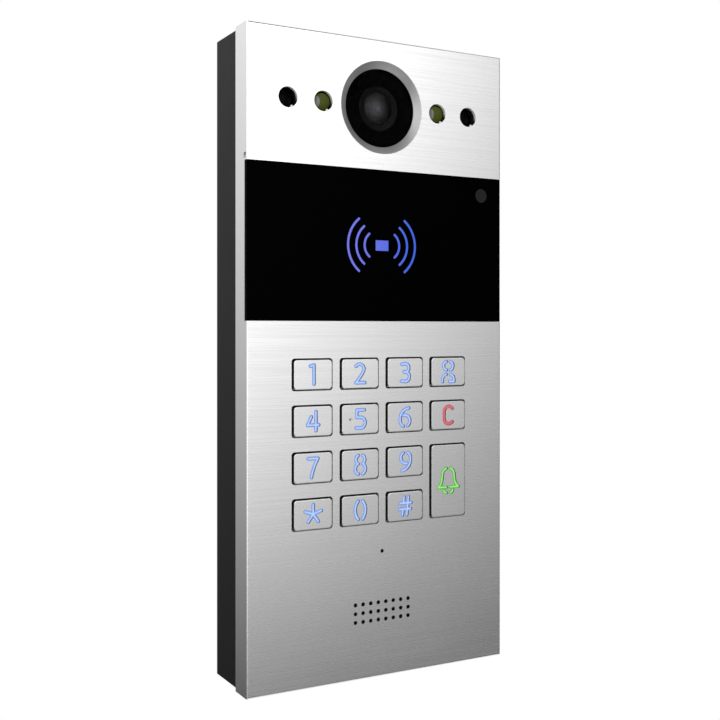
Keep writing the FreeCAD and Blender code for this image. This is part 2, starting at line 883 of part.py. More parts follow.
def reader_symbol():
    plate = box(
        "symbol_plate",
        size.symbol_plate_width,
        size.symbol_plate_height,
        PLATE_BACK,
        LEDGE,
        0,
        size.window_level,
    )
    light = symbol_cutter("symbol", PLATE_BACK + size.loose_fit, FRONT - size.face_recess)
    return joined("reader_symbol", [plate, *light])


def sensor_lens():
    item = cylinder(
        "sensor_lens",
        size.sensor_radius,
        PLATE_BACK,
        FRONT - size.face_recess,
        size.sensor_offset,
        size.sensor_level,
    )
    item.Label = "sensor_lens"
    return item


def reader_board():
    body = new_body("reader_board")
    low = size.reader_board_floor
    outline = rectangle(
        size.reader_board_width, size.reader_board_height, 0, size.window_level, size.corner_radius
    )
    add(body, low, low + size.reader_board_thickness, [outline])
    return body


# Camera


def camera_glass():
    low = size.camera_glass_top - size.camera_glass_thickness
    item = cylinder(
        "camera_glass", size.camera_glass_radius, low, size.camera_glass_top, 0, size.camera_level
    )
    item.Label = "camera_glass"
    return item


def camera_holder():
    body = new_body("camera_holder")
    outline = rectangle(size.holder_width, size.holder_height, 0, size.camera_level, size.corner_radius)
    add(body, size.holder_floor, size.holder_top, [outline])
    surround = disc(size.camera_glass_radius - size.plain_fit, 0, size.camera_level)
    add(body, size.holder_floor, size.surround_top, [surround])
    lamp_bores = [
        disc(size.lamp_hole_radius, side * offset, size.camera_level)
        for side in (-1, 1)
        for offset in (size.lamp_inner_offset, size.lamp_outer_offset)
    ]
    lens_bore = disc(size.lens_ring_radius + size.plain_fit, 0, size.camera_level)
    cut(body, size.holder_floor, size.surround_top, [lens_bore, *lamp_bores])
    return body


def lens_barrel():
    body = new_body("lens_barrel")
    low = size.camera_board_floor + size.board_thickness
    add(body, low, size.lens_ring_top, [disc(size.lens_ring_radius, 0, size.camera_level)])
    cut(
        body,
        size.lens_seat,
        size.lens_ring_top,
        [disc(size.lens_radius + size.close_fit, 0, size.camera_level)],
    )
    cut_cone(
        body,
        size.lens_top - size.loose_fit,
        size.lens_ring_top,
        size.lens_radius,
        size.lens_ring_radius - size.lens_lip,
        0,
        size.camera_level,
    )
    return body


def domed_rod(name, radius, low, top, dome_radius, x, z):
    """A rod along the depth whose front end is part of a ball."""
    rod = document.addObject("Part::Common", name)
    rod.Base = cylinder(f"{name}_core", radius, low, top, x, z)
    rod.Tool = ball(f"{name}_dome", dome_radius, top - dome_radius, x, z)
    rod.Label = name
    return rod


def lens_element():
    return domed_rod(
        "lens_element",
        size.lens_radius,
        size.lens_seat,
        size.lens_top,
        size.lens_dome_radius,
        0,
        size.camera_level,
    )


def camera_board():
    body = new_body("camera_board")
    low = size.camera_board_floor
    outline = rectangle(
        size.camera_board_width, size.camera_board_height, 0, size.camera_level, size.corner_radius
    )
    add(body, low, low + size.board_thickness, [outline])
    return body


def lamps(label, offset, top):
    """A pair of round lamps, each with a wider foot and a low dome."""
    floor = size.camera_board_floor + size.board_thickness
    pieces = []
    for side in (-1, 1):
        at = (side * offset, size.camera_level)
        name = f"{label}_{'left' if side < 0 else 'right'}"
        foot_top = floor + size.lamp_foot_height
        pieces.append(cylinder(f"{name}_foot", size.lamp_foot_radius, floor, foot_top, *at))
        rod = (size.lamp_radius, floor, top, size.lamp_dome_radius)
        pieces.append(domed_rod(f"{name}_rod", *rod, *at))
    return joined(label, pieces)


# Keypad


def key_blank(label, extra):
    """A hollow cap with a captive rim behind the cover, drawn about its own centre."""
    body = new_body(label)
    height = KEY_HEIGHT + extra
    add(body, RIM_BACK, KEY_FRONT, [rectangle(KEY_WIDTH, height, radius=size.key_radius)])
    dress_front(body, "Fillet", size.key_bevel)
    overhang = size.rim_overhang * 2
    rim = rectangle(KEY_WIDTH + overhang, height + overhang, radius=size.corner_radius)
    add(body, RIM_BACK, RIM_TOP, [rim])
    side_walls = size.cap_side_wall * 2
    pocket = rectangle(KEY_WIDTH - side_walls, height - side_walls, radius=size.key_bevel)
    cut(body, RIM_BACK, KEY_FRONT - size.cap_front_wall, [pocket])
    return body


def guide_blank(label, extra):
    """The light guide's block inside a cap, with the plunger that presses the switch."""
    body = new_body(label)
    walls = (size.cap_side_wall + size.guide_clearance) * 2
    block = rectangle(KEY_WIDTH - walls, KEY_HEIGHT + extra - walls, radius=size.key_bevel)
    add(body, RIM_BACK, KEY_FRONT - size.cap_front_wall, [block])
    add(body, size.plunger_tip, RIM_BACK, [disc(size.plunger_radius)])
    return body


def key_parts(name, cap_blank, light_blank):
    """One key's cap, with its legend cut through, and the light guide that fills the legend."""
    wide, core = DIMENSIONS["stroke_width"], DIMENSIONS["stroke_core"]
    front = KEY_FRONT.number
    wall_back = front - DIMENSIONS["cap_front_wall"]
    guide_front = front - DIMENSIONS["stroke_recess"]
    low = wall_back - DIMENSIONS["stroke_root"]
    through = stroke_profile(wide, wide, low, front, front + SPARE)
    bevelled = stroke_profile(wide, core, low, guide_front - DIMENSIONS["stroke_bevel"], guide_front)
    slot = solid_feature(f"{name}_slot", stroke_solid(LEGENDS[name], through))
    stroke = solid_feature(f"{name}_stroke", stroke_solid(LEGENDS[name], bevelled))
    blank = cap_blank
    if name == "key_5":
        pip = ball(f"{name}_pip", size.pip_radius, KEY_FRONT - size.pip_sink, -size.pip_offset)
        blank = joined(f"{name}_blank", [cap_blank, pip])
    cap = without(f"{name}_cap", blank, slot)
    legend = joined(f"{name}_legend", [light_blank, stroke])
    x, z = key_centre(name)
    place(cap, x, 0, z)
    place(legend, x, 0, z)
    return [cap, legend]


def keys():
    caps, guides = {}, {}
    for tall in (False, True):
        extra = size.key_pitch_down * int(tall)
        caps[tall] = key_blank(f"cap_blank_{int(tall)}", extra)
        guides[tall] = guide_blank(f"guide_blank_{int(tall)}", extra)
    pieces = []
    for name in KEYS:
        pieces += key_parts(name, caps[is_tall(name)], guides[is_tall(name)])
    return pieces


def keypad_mat():
    body = new_body("keypad_mat")
    outline = rectangle(size.mat_width, size.mat_height, 0, KEYPAD_LEVEL, size.corner_radius)
    add(body, size.mat_floor, size.mat_top, [outline])
    inner = rectangle(size.mat_width - size.mat_rim * 2, size.mat_height - size.mat_rim * 2, 0, KEYPAD_LEVEL)
    cut(body, size.mat_floor, size.mat_sheet_floor, [inner])
    holes = [disc(size.mat_hole_radius, *key_centre(name)) for name in KEYS]
    cut(body, size.mat_sheet_floor, size.mat_top, holes)
    return body


def keypad_board():
    body = new_body("keypad_board")
    low = size.mat_floor - size.keypad_board_thickness
    outline = rectangle(
        size.keypad_board_width, size.keypad_board_height, 0, KEYPAD_LEVEL, size.corner_radius
    )
    add(body, low, size.mat_floor, [outline])
    holes = corners(size.keypad_screw_offset, size.keypad_screw_rise, KEYPAD_LEVEL)
    cut(body, low, size.mat_floor, [disc(size.small_hole_radius, *at) for at in holes])
    return body


def switch_domes():
    low = size.mat_floor
    domes = [
        cone(
            f"dome_{name}",
            size.dome_foot_radius,
            size.dome_top_radius,
            low,
            low + size.dome_height,
            *key_centre(name),
        )
        for name in KEYS
    ]
    return joined("switch_domes", domes)


# Microphone and loudspeaker


def microphone():
    item = cylinder(
        "microphone",
        size.microphone_radius,
        size.microphone_floor,
        size.microphone_top,
        0,
        size.microphone_level,
    )
    item.Label = "microphone"
    return item


def microphone_boot():
    body = new_body("microphone_boot")
    add(body, size.microphone_floor, PLATE_BACK, [disc(size.boot_radius, 0, size.microphone_level)])
    capsule = disc(size.microphone_radius + size.face_recess, 0, size.microphone_level)
    cut(body, size.microphone_floor, size.microphone_top, [capsule])
    cut(body, size.microphone_top, PLATE_BACK, [disc(size.microphone_radius / 2, 0, size.microphone_level)])
    return body


def speaker_seal():
    body = new_body("speaker_seal")
    add(body, size.speaker_top, PLATE_BACK, [disc(size.speaker_radius, 0, size.speaker_level)])
    inside = disc(size.speaker_radius - size.speaker_seal_width, 0, size.speaker_level)
    cut(body, size.speaker_top, PLATE_BACK, [inside])
    return body


def speaker_frame():
    """The stamped basket with its magnet pot behind it, hollowed for the cone."""
    body = new_body("speaker_frame")
    add(
        body,
        size.speaker_floor,
        size.speaker_basket_floor,
        [disc(size.speaker_magnet_radius, 0, size.speaker_level)],
    )
    add(
        body,
        size.speaker_basket_floor,
        size.speaker_rim_floor,
        [disc(size.speaker_basket_radius, 0, size.speaker_level)],
    )
    add(
        body,
        size.speaker_rim_floor,
        size.speaker_top,
        [disc(size.speaker_radius, 0, size.speaker_level)],
    )
    cut_cone(
        body,
        size.speaker_rim_floor - size.basket_step,
        size.speaker_top,
        size.speaker_coil_radius,
        size.speaker_cone_radius + size.basket_margin,
        0,
        size.speaker_level,
    )
    return body


def speaker_cone():
    """A thin paper cone with a dust cap, open to the front."""
    at = (0, size.speaker_level)
    coil, rim, skin = size.speaker_coil_radius, size.speaker_cone_radius, size.cone_skin
    low, high = size.speaker_rim_floor, size.speaker_top
    outside = cone("cone_outside", coil, rim, low, high, *at)
    inside = cone("cone_inside", coil, rim, low + skin, high + skin, *at)
    shell = without("cone_shell", outside, inside)
    cap_cut = cylinder("dust_cap_core", coil - size.dust_cap_margin, low, high, *at)
    dome = ball("dust_cap_dome", coil * size.dust_cap_swell, low - coil, *at)
    cap = document.addObject("Part::Common", "dust_cap")
    cap.Base = cap_cut
    cap.Tool = dome
    return joined("speaker_cone", [shell, cap])


# Rear housing, seal and screws


def rear_housing():
    body = new_body("rear_housing")
    outer = rectangle(
        size.panel_width - size.housing_inset * 2,
        size.panel_height - size.housing_inset * 2,
        radius=size.housing_radius,
    )
    add(body, 0, size.housing_top, [outer])
    tongue = rectangle(TONGUE_WIDTH, TONGUE_HEIGHT, radius=size.corner_radius)
    add(body, size.housing_top, size.tongue_top, [tongue])
    inside = rectangle(INSIDE_WIDTH, INSIDE_HEIGHT, radius=size.corner_radius)
    cut(body, size.housing_back, size.tongue_top, [inside])
    margin = size.bracket_margin * 2
    recess = rectangle(
        size.bracket_width + margin, size.bracket_height + margin, radius=size.corner_radius * 2
    )
    cut(body, 0, size.bracket_recess, [recess])
    columns = corners(size.column_offset, size.column_level)
    add(body, size.housing_back, size.column_top, [disc(size.column_radius, *at) for at in columns])
    cut(body, 0, size.column_top, [disc(size.screw_hole_radius, *at) for at in columns])
    sinks = [disc(size.screw_head_radius + size.plain_fit, *at) for at in columns]
    cut(body, 0, size.screw_sink, sinks)
    posts = corners(size.main_screw_offset, size.main_screw_rise, size.main_board_level)
    add(body, size.housing_back, size.main_board_floor, [disc(size.small_head_radius, *at) for at in posts])
    cut(
        body,
        size.housing_back + size.pilot_end,
        size.main_board_floor,
        [disc(size.small_pilot_radius, *at) for at in posts],
    )
    head_pockets = corners(size.wall_screw_spacing_across / 2, size.wall_screw_spacing_up / 2)
    wall = size.pocket_wall
    roofs = [
        rectangle(size.head_pocket_width + wall * 2, size.head_pocket_height + wall * 2, *at)
        for at in head_pockets
    ]
    add(body, size.housing_back, size.head_pocket_top + wall, roofs)
    pockets = [rectangle(size.head_pocket_width, size.head_pocket_height, *at) for at in head_pockets]
    cut(body, size.bracket_recess, size.head_pocket_top, pockets)
    hook_slots = [
        rectangle(
            size.hook_width + margin, size.hook_slot_height, side * size.hook_offset, size.hook_slot_level
        )
        for side in (-1, 1)
    ]
    cable_hole = disc(size.cable_hole_radius, 0, size.cable_level)
    cut(body, size.bracket_recess, size.housing_back, [*hook_slots, cable_hole])
    lock_block = rectangle(
        size.lock_pocket_width + wall * 2,
        size.lock_pocket_height + size.lock_block_margin * 2,
        0,
        size.lock_pocket_level,
    )
    add(body, size.housing_back, size.lock_pocket_top + wall, [lock_block])
    lock_pocket = rectangle(size.lock_pocket_width, size.lock_pocket_height, 0, size.lock_pocket_level)
    cut(body, 0, size.lock_pocket_top, [lock_pocket])
    bottom = -size.panel_height / 2 + size.housing_inset
    lock_hole = disc(size.screw_hole_radius, 0, -size.lock_screw_height)
    cut_level(body, bottom, size.lock_pocket_level, [lock_hole])
    lock_sink = disc(size.screw_head_radius + size.loose_fit, 0, -size.lock_screw_height)
    cut_level(body, bottom, bottom + size.screw_head_height, [lock_sink])
    return body


def cover_seal():
    body = new_body("cover_seal")
    outer = rectangle(TONGUE_WIDTH, TONGUE_HEIGHT, radius=size.corner_radius)
    inner = rectangle(INSIDE_WIDTH, INSIDE_HEIGHT, radius=size.corner_radius)
    add(body, size.tongue_top, PLATE_BACK, [outer])
    cut(body, size.tongue_top, PLATE_BACK, [inner])
    return body


def cover_screws():
    pieces = []
    for number, at in enumerate(corners(size.column_offset, size.column_level)):
        name = f"cover_screw_{number}"
        head_low = size.screw_sink - size.screw_head_height
        pieces.append(cylinder(f"{name}_head", size.screw_head_radius, head_low, size.screw_sink, *at))
        pieces.append(cylinder(f"{name}_shank", size.screw_radius, head_low, SCREW_END, *at))
    return joined("cover_screws", pieces)


def board_screws():
    """Identical small screws: four hold the keypad board from behind, four the main board from the front."""
    keypad_back = size.mat_floor - size.keypad_board_thickness
    pieces = []
    for number, at in enumerate(corners(size.keypad_screw_offset, size.keypad_screw_rise, KEYPAD_LEVEL)):
        name = f"keypad_screw_{number}"
        head = cylinder(
            f"{name}_head",
            size.small_head_radius,
            keypad_back - size.small_head_height,
            keypad_back,
            *at,
        )
        shank = cylinder(
            f"{name}_shank",
            size.small_screw_radius,
            keypad_back - size.pilot_end,
            keypad_back + size.small_screw_length,
            *at,
        )
        pieces += [head, shank]
    main_places = corners(size.main_screw_offset, size.main_screw_rise, size.main_board_level)
    for number, at in enumerate(main_places):
        name = f"main_screw_{number}"
        head = cylinder(
            f"{name}_head", size.small_head_radius, BOARD_TOP, BOARD_TOP + size.small_head_height, *at
        )
        shank = cylinder(
            f"{name}_shank",
            size.small_screw_radius,
            BOARD_TOP - size.small_screw_length,
            BOARD_TOP + size.pilot_end,
            *at,
        )
        pieces += [head, shank]
    return joined("board_screws", pieces)


# Electronics on the main board


def main_board():
    """The board with its soldered shield can, transformer and capacitors as one solid."""
    body = new_body("main_board")
    low = size.main_board_floor
    outline = rectangle(
        size.main_board_width, size.main_board_height, 0, size.main_board_level, size.corner_radius
    )
    add(body, low, BOARD_TOP, [outline])
    shield = rectangle(
        size.shield_side, size.shield_side, size.shield_offset, size.shield_level, size.corner_radius
    )
    add(body, BOARD_TOP, BOARD_TOP + size.shield_rise, [shield])
    add(body, BOARD_TOP, BOARD_TOP + size.chip_rise, [rectangle(*chip) for chip in CHIPS])
    capacitors = [
        disc(
            size.capacitor_radius,
            size.capacitor_offset,
            size.capacitor_level + size.capacitor_pitch * place_along,
        )
        for place_along in (-1, 0, 1)
    ]
    add(body, BOARD_TOP, BOARD_TOP + size.capacitor_rise, capacitors)
    holes = corners(size.main_screw_offset, size.main_screw_rise, size.main_board_level)
    cut(body, low, BOARD_TOP, [disc(size.small_hole_radius, *at) for at in holes])
    fit = size.loose_fit * 2
    socket_gap = rectangle(
        size.socket_width + fit, size.socket_height + fit, size.socket_offset, size.socket_level
    )
    cut(body, low, BOARD_TOP, [socket_gap])
    return body


def terminal_block():
    body = new_body("terminal_block")
    outline = rectangle(size.terminal_width, size.terminal_height, 0, size.terminal_level)
    add(body, BOARD_TOP, size.terminal_top, [outline])
    ways = range(DIMENSIONS["terminal_ways"])
    middle = (DIMENSIONS["terminal_ways"] - 1) / 2
    places = [size.terminal_pitch * (way - middle) for way in ways]
    screw_level = size.terminal_level - size.terminal_screw_drop
    screws = [disc(size.terminal_screw_radius, x, screw_level) for x in places]
    cut(body, size.terminal_top - size.terminal_screw_sink, size.terminal_top, screws)
    face = size.terminal_level + size.terminal_height / 2
    side = size.terminal_entry
    entries = [rectangle(side, side, x, -(BOARD_TOP + side)) for x in places]
    cut_level(body, face - size.terminal_entry_depth, face, entries)
    return body


def network_socket():
    body = new_body("network_socket")
    outline = rectangle(size.socket_width, size.socket_height, size.socket_offset, size.socket_level)
    add(body, size.socket_floor, size.socket_top, [outline])
    lower = size.socket_level - size.socket_height / 2
    middle = (size.socket_floor + size.socket_top) / 2
    mouth = rectangle(size.socket_mouth_width, size.socket_mouth_height, size.socket_offset, -middle)
    cut_level(body, lower, lower + size.socket_mouth_depth, [mouth])
    return body


# Wall side


def wall_bracket():
    body = new_body("wall_bracket")
    plate = rectangle(size.bracket_width, size.bracket_height, radius=size.corner_radius * 2)
    add(body, 0, size.bracket_thickness, [plate])
    tail_level = size.lock_tab_level + size.lock_tail_rise
    tail = rectangle(size.lock_tab_width, size.bracket_thickness * 3, 0, tail_level)
    add(body, 0, size.bracket_thickness, [tail])
    tab = rectangle(size.lock_tab_width, size.bracket_thickness, 0, size.lock_tab_level)
    add(body, 0, size.lock_tab_top, [tab])
    thickness = size.bracket_thickness
    legs = [
        rectangle(size.hook_width, thickness, side * size.hook_offset, size.hook_level + thickness / 2)
        for side in (-1, 1)
    ]
    add(body, 0, size.hook_top, legs)
    lips = [
        rectangle(
            size.hook_width,
            size.hook_length,
            side * size.hook_offset,
            size.hook_level + size.hook_length / 2,
        )
        for side in (-1, 1)
    ]
    add(body, size.hook_top - thickness, size.hook_top, lips)
    screw_places = corners(size.wall_screw_spacing_across / 2, size.wall_screw_spacing_up / 2)
    slots = [slot(size.wall_slot_length, size.wall_slot_radius, *at) for at in screw_places]
    opening = disc(size.cable_opening_radius, 0, size.cable_level)
    cut(body, 0, size.bracket_thickness, [opening, *slots])
    lock_hole = disc(size.screw_pilot_radius, 0, -size.lock_screw_height)
    cut_level(
        body,
        size.lock_tab_level - thickness,
        size.lock_tab_level + thickness,
        [lock_hole],
    )
    return body


def locking_screw():
    """The one screw a fitter reaches from below, through the housing into the bracket's tab."""
    bottom = -size.panel_height / 2 + size.housing_inset
    low = bottom + size.loose_fit
    parts = [
        ("lock_head", size.screw_head_radius, low, bottom + size.screw_head_height),
        ("lock_shank", size.screw_radius, low, size.lock_tab_level + size.lock_screw_reach),
    ]
    pieces = []
    for name, radius, start, end in parts:
        item = document.addObject("Part::Cylinder", name)
        bind(item, "Radius", radius)
        bind(item, "Height", end - start)
        place(item, 0, -size.lock_screw_height, start)
        pieces.append(item)
    return joined("locking_screw", pieces)


def cable_grommet():
    body = new_body("cable_grommet")
    at = (0, size.cable_level)
    add(body, size.grommet_floor, size.bracket_recess, [disc(size.grommet_rim_radius, *at)])
    add(body, size.bracket_recess, size.housing_back, [disc(size.grommet_neck_radius, *at)])
    add(body, size.housing_back, size.grommet_top, [disc(size.grommet_rim_radius, *at)])
    cut(body, size.grommet_floor, size.grommet_top, [disc(size.cable_radius, *at)])
    return body


def make_pieces():
    """Every piece of the panel, as document objects whose Labels name them."""
    return [
        front_cover(),
        window_panel(),
        reader_symbol(),
        sensor_lens(),
        reader_board(),
        camera_glass(),
        camera_holder(),
        lens_barrel(),
        lens_element(),
        camera_board(),
        lamps("white_lamps", size.lamp_inner_offset, size.white_lamp_top),
        lamps("infrared_lamps", size.lamp_outer_offset, size.infrared_lamp_top),
        *keys(),
        keypad_mat(),
        keypad_board(),
        switch_domes(),
        microphone(),
        microphone_boot(),
        speaker_seal(),
        speaker_frame(),
        speaker_cone(),
        rear_housing(),
        cover_seal(),
        cover_screws(),
        board_screws(),
        main_board(),
        terminal_block(),
        network_socket(),
        wall_bracket(),
        locking_screw(),
        cable_grommet(),
    ]


def check(pieces):
    """Stops if any object of the document failed to build or any piece isn't a valid solid."""
    for item in document.Objects:
        if "Invalid" in item.State or "Error" in item.State:
            raise RuntimeError(f"{item.Label} failed to build: {item.State}")
    for piece in pieces:
        shape = piece.Shape
        if shape.isNull() or not shape.isValid() or not shape.Solids:
            raise RuntimeError(f"{piece.Label} isn't a valid solid")


def main():
    make_sheet()
    pieces = make_pieces()
    document.recompute()
    check(pieces)
    os.makedirs("parts", exist_ok=True)
    for piece in pieces:
        piece.Shape.exportStep(f"parts/{piece.Label}.step")
        bounds = piece.Shape.BoundBox
        low = f"{bounds.XMin:.2f} {bounds.YMin:.2f} {bounds.ZMin:.2f}"
        high = f"{bounds.XMax:.2f} {bounds.YMax:.2f} {bounds.ZMax:.2f}"
        measure = f"{len(piece.Shape.Solids)} solid, {piece.Shape.Volume:.1f} mm3"
        print(f"{piece.Label}: {measure}, {low} to {high}")


main()
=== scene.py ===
import json
import math

import bmesh
import bpy
import numpy as np
from bpy.props import FloatProperty, FloatVectorProperty, IntProperty, PointerProperty
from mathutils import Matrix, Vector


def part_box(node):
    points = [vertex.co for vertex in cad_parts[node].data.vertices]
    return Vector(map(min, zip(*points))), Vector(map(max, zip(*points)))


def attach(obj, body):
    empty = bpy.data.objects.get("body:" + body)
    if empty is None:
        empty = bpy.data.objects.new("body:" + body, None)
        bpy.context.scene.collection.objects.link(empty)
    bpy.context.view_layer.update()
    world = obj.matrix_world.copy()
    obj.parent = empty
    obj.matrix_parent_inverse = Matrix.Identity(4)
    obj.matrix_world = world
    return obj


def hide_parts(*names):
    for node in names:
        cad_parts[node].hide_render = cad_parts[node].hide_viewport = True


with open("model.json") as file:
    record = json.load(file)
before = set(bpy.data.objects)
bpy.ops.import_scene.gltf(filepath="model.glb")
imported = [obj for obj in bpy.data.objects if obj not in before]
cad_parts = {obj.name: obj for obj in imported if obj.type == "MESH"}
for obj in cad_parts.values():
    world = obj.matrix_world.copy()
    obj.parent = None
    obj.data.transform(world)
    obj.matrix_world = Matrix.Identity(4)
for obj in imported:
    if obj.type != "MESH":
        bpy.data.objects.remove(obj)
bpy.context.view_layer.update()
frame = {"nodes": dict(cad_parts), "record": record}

bl_info = {
    "name": "Door Intercom Panel",
    "version": (1, 0, 0),
    "blender": (4, 5, 0),
    "location": "3D View > Sidebar > Intercom",
    "description": "Dresses a door intercom panel: brushed cover, lit keys, lens, lamps and studio",
    "category": "Add Mesh",
}

RECORD = frame["record"]
MM = 0.001
TAU = 2 * math.pi


def centre_of(node):
    """The middle of a CAD node's box."""
    low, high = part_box(node)
    return (low + high) / 2


# Sizes and colours


def colour(name, description, value):
    """A colour that a user can change."""
    return FloatVectorProperty(
        name=name, description=description, subtype="COLOR", size=3, min=0, max=1, default=value
    )


def factor(name, description, value):
    """A share from 0 to 1 that a user can change."""
    return FloatProperty(
        name=name, description=description, subtype="FACTOR", min=0, max=1, default=value
    )


def length(name, description, value):
    """A length in metres that a user can change."""
    return FloatProperty(
        name=name, description=description, unit="LENGTH", default=value, precision=5
    )


def rotation(name, description, degrees):
    """An angle that a user can change, given in degrees."""
    return FloatProperty(
        name=name, description=description, unit="ROTATION", default=math.radians(degrees)
    )


def number(name, description, value):
    """A plain number that a user can change."""
    return FloatProperty(name=name, description=description, default=value)


class MetalLook(bpy.types.PropertyGroup):
    """The brushed aluminium of the cover and the key caps."""

    light: colour("Light streak", "Aluminium in the bright brush lines", (0.93, 0.93, 0.93))
    dark: colour("Dark streak", "Aluminium in the dull brush lines", (0.84, 0.84, 0.845))
    roughness: factor("Roughness", "Roughness of a bright brush line", 0.22)
    streak_length: length("Streak length", "Usual length of one brush line", 24 * MM)
    streak_width: length("Streak width", "Usual width of one brush line", 0.13 * MM)


class GlowLook(bpy.types.PropertyGroup):
    """The lit symbols on the keys and behind the window."""

    digit: colour("Digit", "Middle of a lit digit", (0.42, 0.58, 0.94))
    digit_rim: colour("Digit rim", "Sloped sides of a lit digit", (0.19, 0.30, 0.70))
    clear: colour("Clear", "Middle of the clear key's letter", (0.68, 0.14, 0.18))
    clear_rim: colour("Clear rim", "Sides of the clear key's letter", (0.50, 0.09, 0.12))
    call: colour("Call", "Middle of the call key's bell", (0.30, 0.80, 0.19))
    call_rim: colour("Call rim", "Sides of the call key's bell", (0.12, 0.42, 0.09))
    reader_left: colour("Reader left", "Left arcs of the reader symbol", (0.16, 0.17, 0.75))
    reader_right: colour("Reader right", "Right arcs of the reader symbol", (0.015, 0.10, 0.68))


class LensLook(bpy.types.PropertyGroup):
    """The camera's lens and the lamps beside it."""

    bezel_outer: length("Bezel outer radius", "Radius of the bezel at the cover's front", 13.7 * MM)
    bezel_inner: length("Bezel inner radius", "Radius of the bezel at the glass", 11.65 * MM)
    bezel_depth: length("Bezel depth", "Fall of the bezel's cone", 1.2 * MM)
    lamp_hole: length("Lamp hole", "Radius of the lamp holes", 3 * MM)
    lamp_foot: length("Lamp foot", "Radius of a lamp's foot", 2.85 * MM)
    collar_depth: length("Collar depth", "Depth of a lamp hole's bright collar", 1.0 * MM)
    tooth_angle: rotation("Tooth angle", "Where a collar's tooth stands", -66)
    tooth_width: rotation("Tooth width", "Half of a tooth's arc", 11)
    tooth_height: length("Tooth height", "How far a tooth stands into its hole", 0.55 * MM)
    steps: IntProperty(
        name="Baffle steps", description="Steps down the lens barrel", default=4, min=1
    )
    phosphor: colour("Phosphor", "Unlit phosphor of the white lamps", (0.09, 0.115, 0.002))


class StudioLook(bpy.types.PropertyGroup):
    """The floor, the camera and the soft light."""

    floor_level: length("Floor level", "Height of the floor", -0.25)
    floor_radius: length("Floor radius", "Radius of the pale floor", 0.36)
    camera_place: FloatVectorProperty(
        name="Camera", description="Where the camera stands", unit="LENGTH", size=3,
        default=(-0.1599, -0.3001, 0.0085), precision=4,
    )
    camera_turn: rotation("Camera turn", "Turn to the camera's right of straight ahead", 28.87)
    lens: number("Lens", "Focal length in millimetres", 54.03)
    drop: number("Lens drop", "Vertical shift of the lens", -0.0428)
    softbox: number("Softbox", "Brightness of the front softbox", 1.62)
    back_light: number("Back light", "Brightness behind the panel", 0.95)
    strip: number("Strip light", "Brightness of the strip at the far left", 0.9)
    flank: number("Flank light", "Brightness of the wall at the far right", 0.4)
    bounce: number("Bounce light", "Brightness that comes up from below", 0.8)
    ambient: number("Ambient light", "Brightness in every direction", 0.02)


# Shader graphs


class Wire:
    """One output socket of a graph. Arithmetic on it adds Math nodes."""

    def __init__(self, graph, socket):
        self.graph = graph
        self.socket = socket

    def math(self, operation, *values):
        """The output of a Math node over the values."""
        return self.graph.add("ShaderNodeMath", {"operation": operation}, values)

    def __add__(self, other):
        return self.math("ADD", self, other)

    __radd__ = __add__

    def __sub__(self, other):
        return self.math("SUBTRACT", self, other)

    def __rsub__(self, other):
        return self.math("SUBTRACT", other, self)

    def __mul__(self, other):
        return self.math("MULTIPLY", self, other)

    __rmul__ = __mul__

    def __truediv__(self, other):
        return self.math("DIVIDE", self, other)

    def __rtruediv__(self, other):
        return self.math("DIVIDE", other, self)

    def __pow__(self, other):
        return self.math("POWER", self, other)

    def __abs__(self):
        return self.math("ABSOLUTE", self)

    def __gt__(self, other):
        return self.math("GREATER_THAN", self, other)

    def __lt__(self, other):
        return self.math("LESS_THAN", self, other)

    def largest(self, other):
        """The larger of this value and another."""
        return self.math("MAXIMUM", self, other)


class Graph:
    """A node tree, with one method that adds any node."""

    def __init__(self, tree):
        self.tree = tree

    def put(self, socket, value):
        """Links a wire to a socket, or sets the socket to a plain value."""
        if isinstance(value, Wire):
            self.tree.links.new(value.socket, socket)
        elif socket.type == "RGBA":
            socket.default_value = (*value[:3], 1.0)
        else:
            socket.default_value = value

    def add(self, kind, settings=None, inputs=(), output=0):
        """Any node: its settings are set first, then its sockets are fed by order or by name."""
        node = self.tree.nodes.new(kind)
        for name, value in (settings or {}).items():
            setattr(node, name, value)
        pairs = inputs.items() if isinstance(inputs, dict) else enumerate(inputs)
        for key, value in pairs:
            self.put(node.inputs[key], value)
        return Wire(self, node.outputs[output])

    def split(self, vector):
        """The X, Y and Z of a vector."""
        first = self.add("ShaderNodeSeparateXYZ", None, [vector])
        return [Wire(self, socket) for socket in first.socket.node.outputs]

    def fade(self, value, low, high, start=0.0, end=1.0, shape="SMOOTHSTEP"):
        """A smooth or straight step of value, from start at low to end at high."""
        settings = {"interpolation_type": shape}
        return self.add("ShaderNodeMapRange", settings, [value, low, high, start, end])

    def ramp(self, value, low, high, start, end):
        """A straight step of value, from start at low to end at high."""
        return self.fade(value, low, high, start, end, "LINEAR")

    def mix(self, amount, first, second):
        """A colour between two colours."""
        settings = {"data_type": "RGBA"}
        inputs = {0: amount, 6: first, 7: second}
        return self.add("ShaderNodeMix", settings, inputs, output=2)


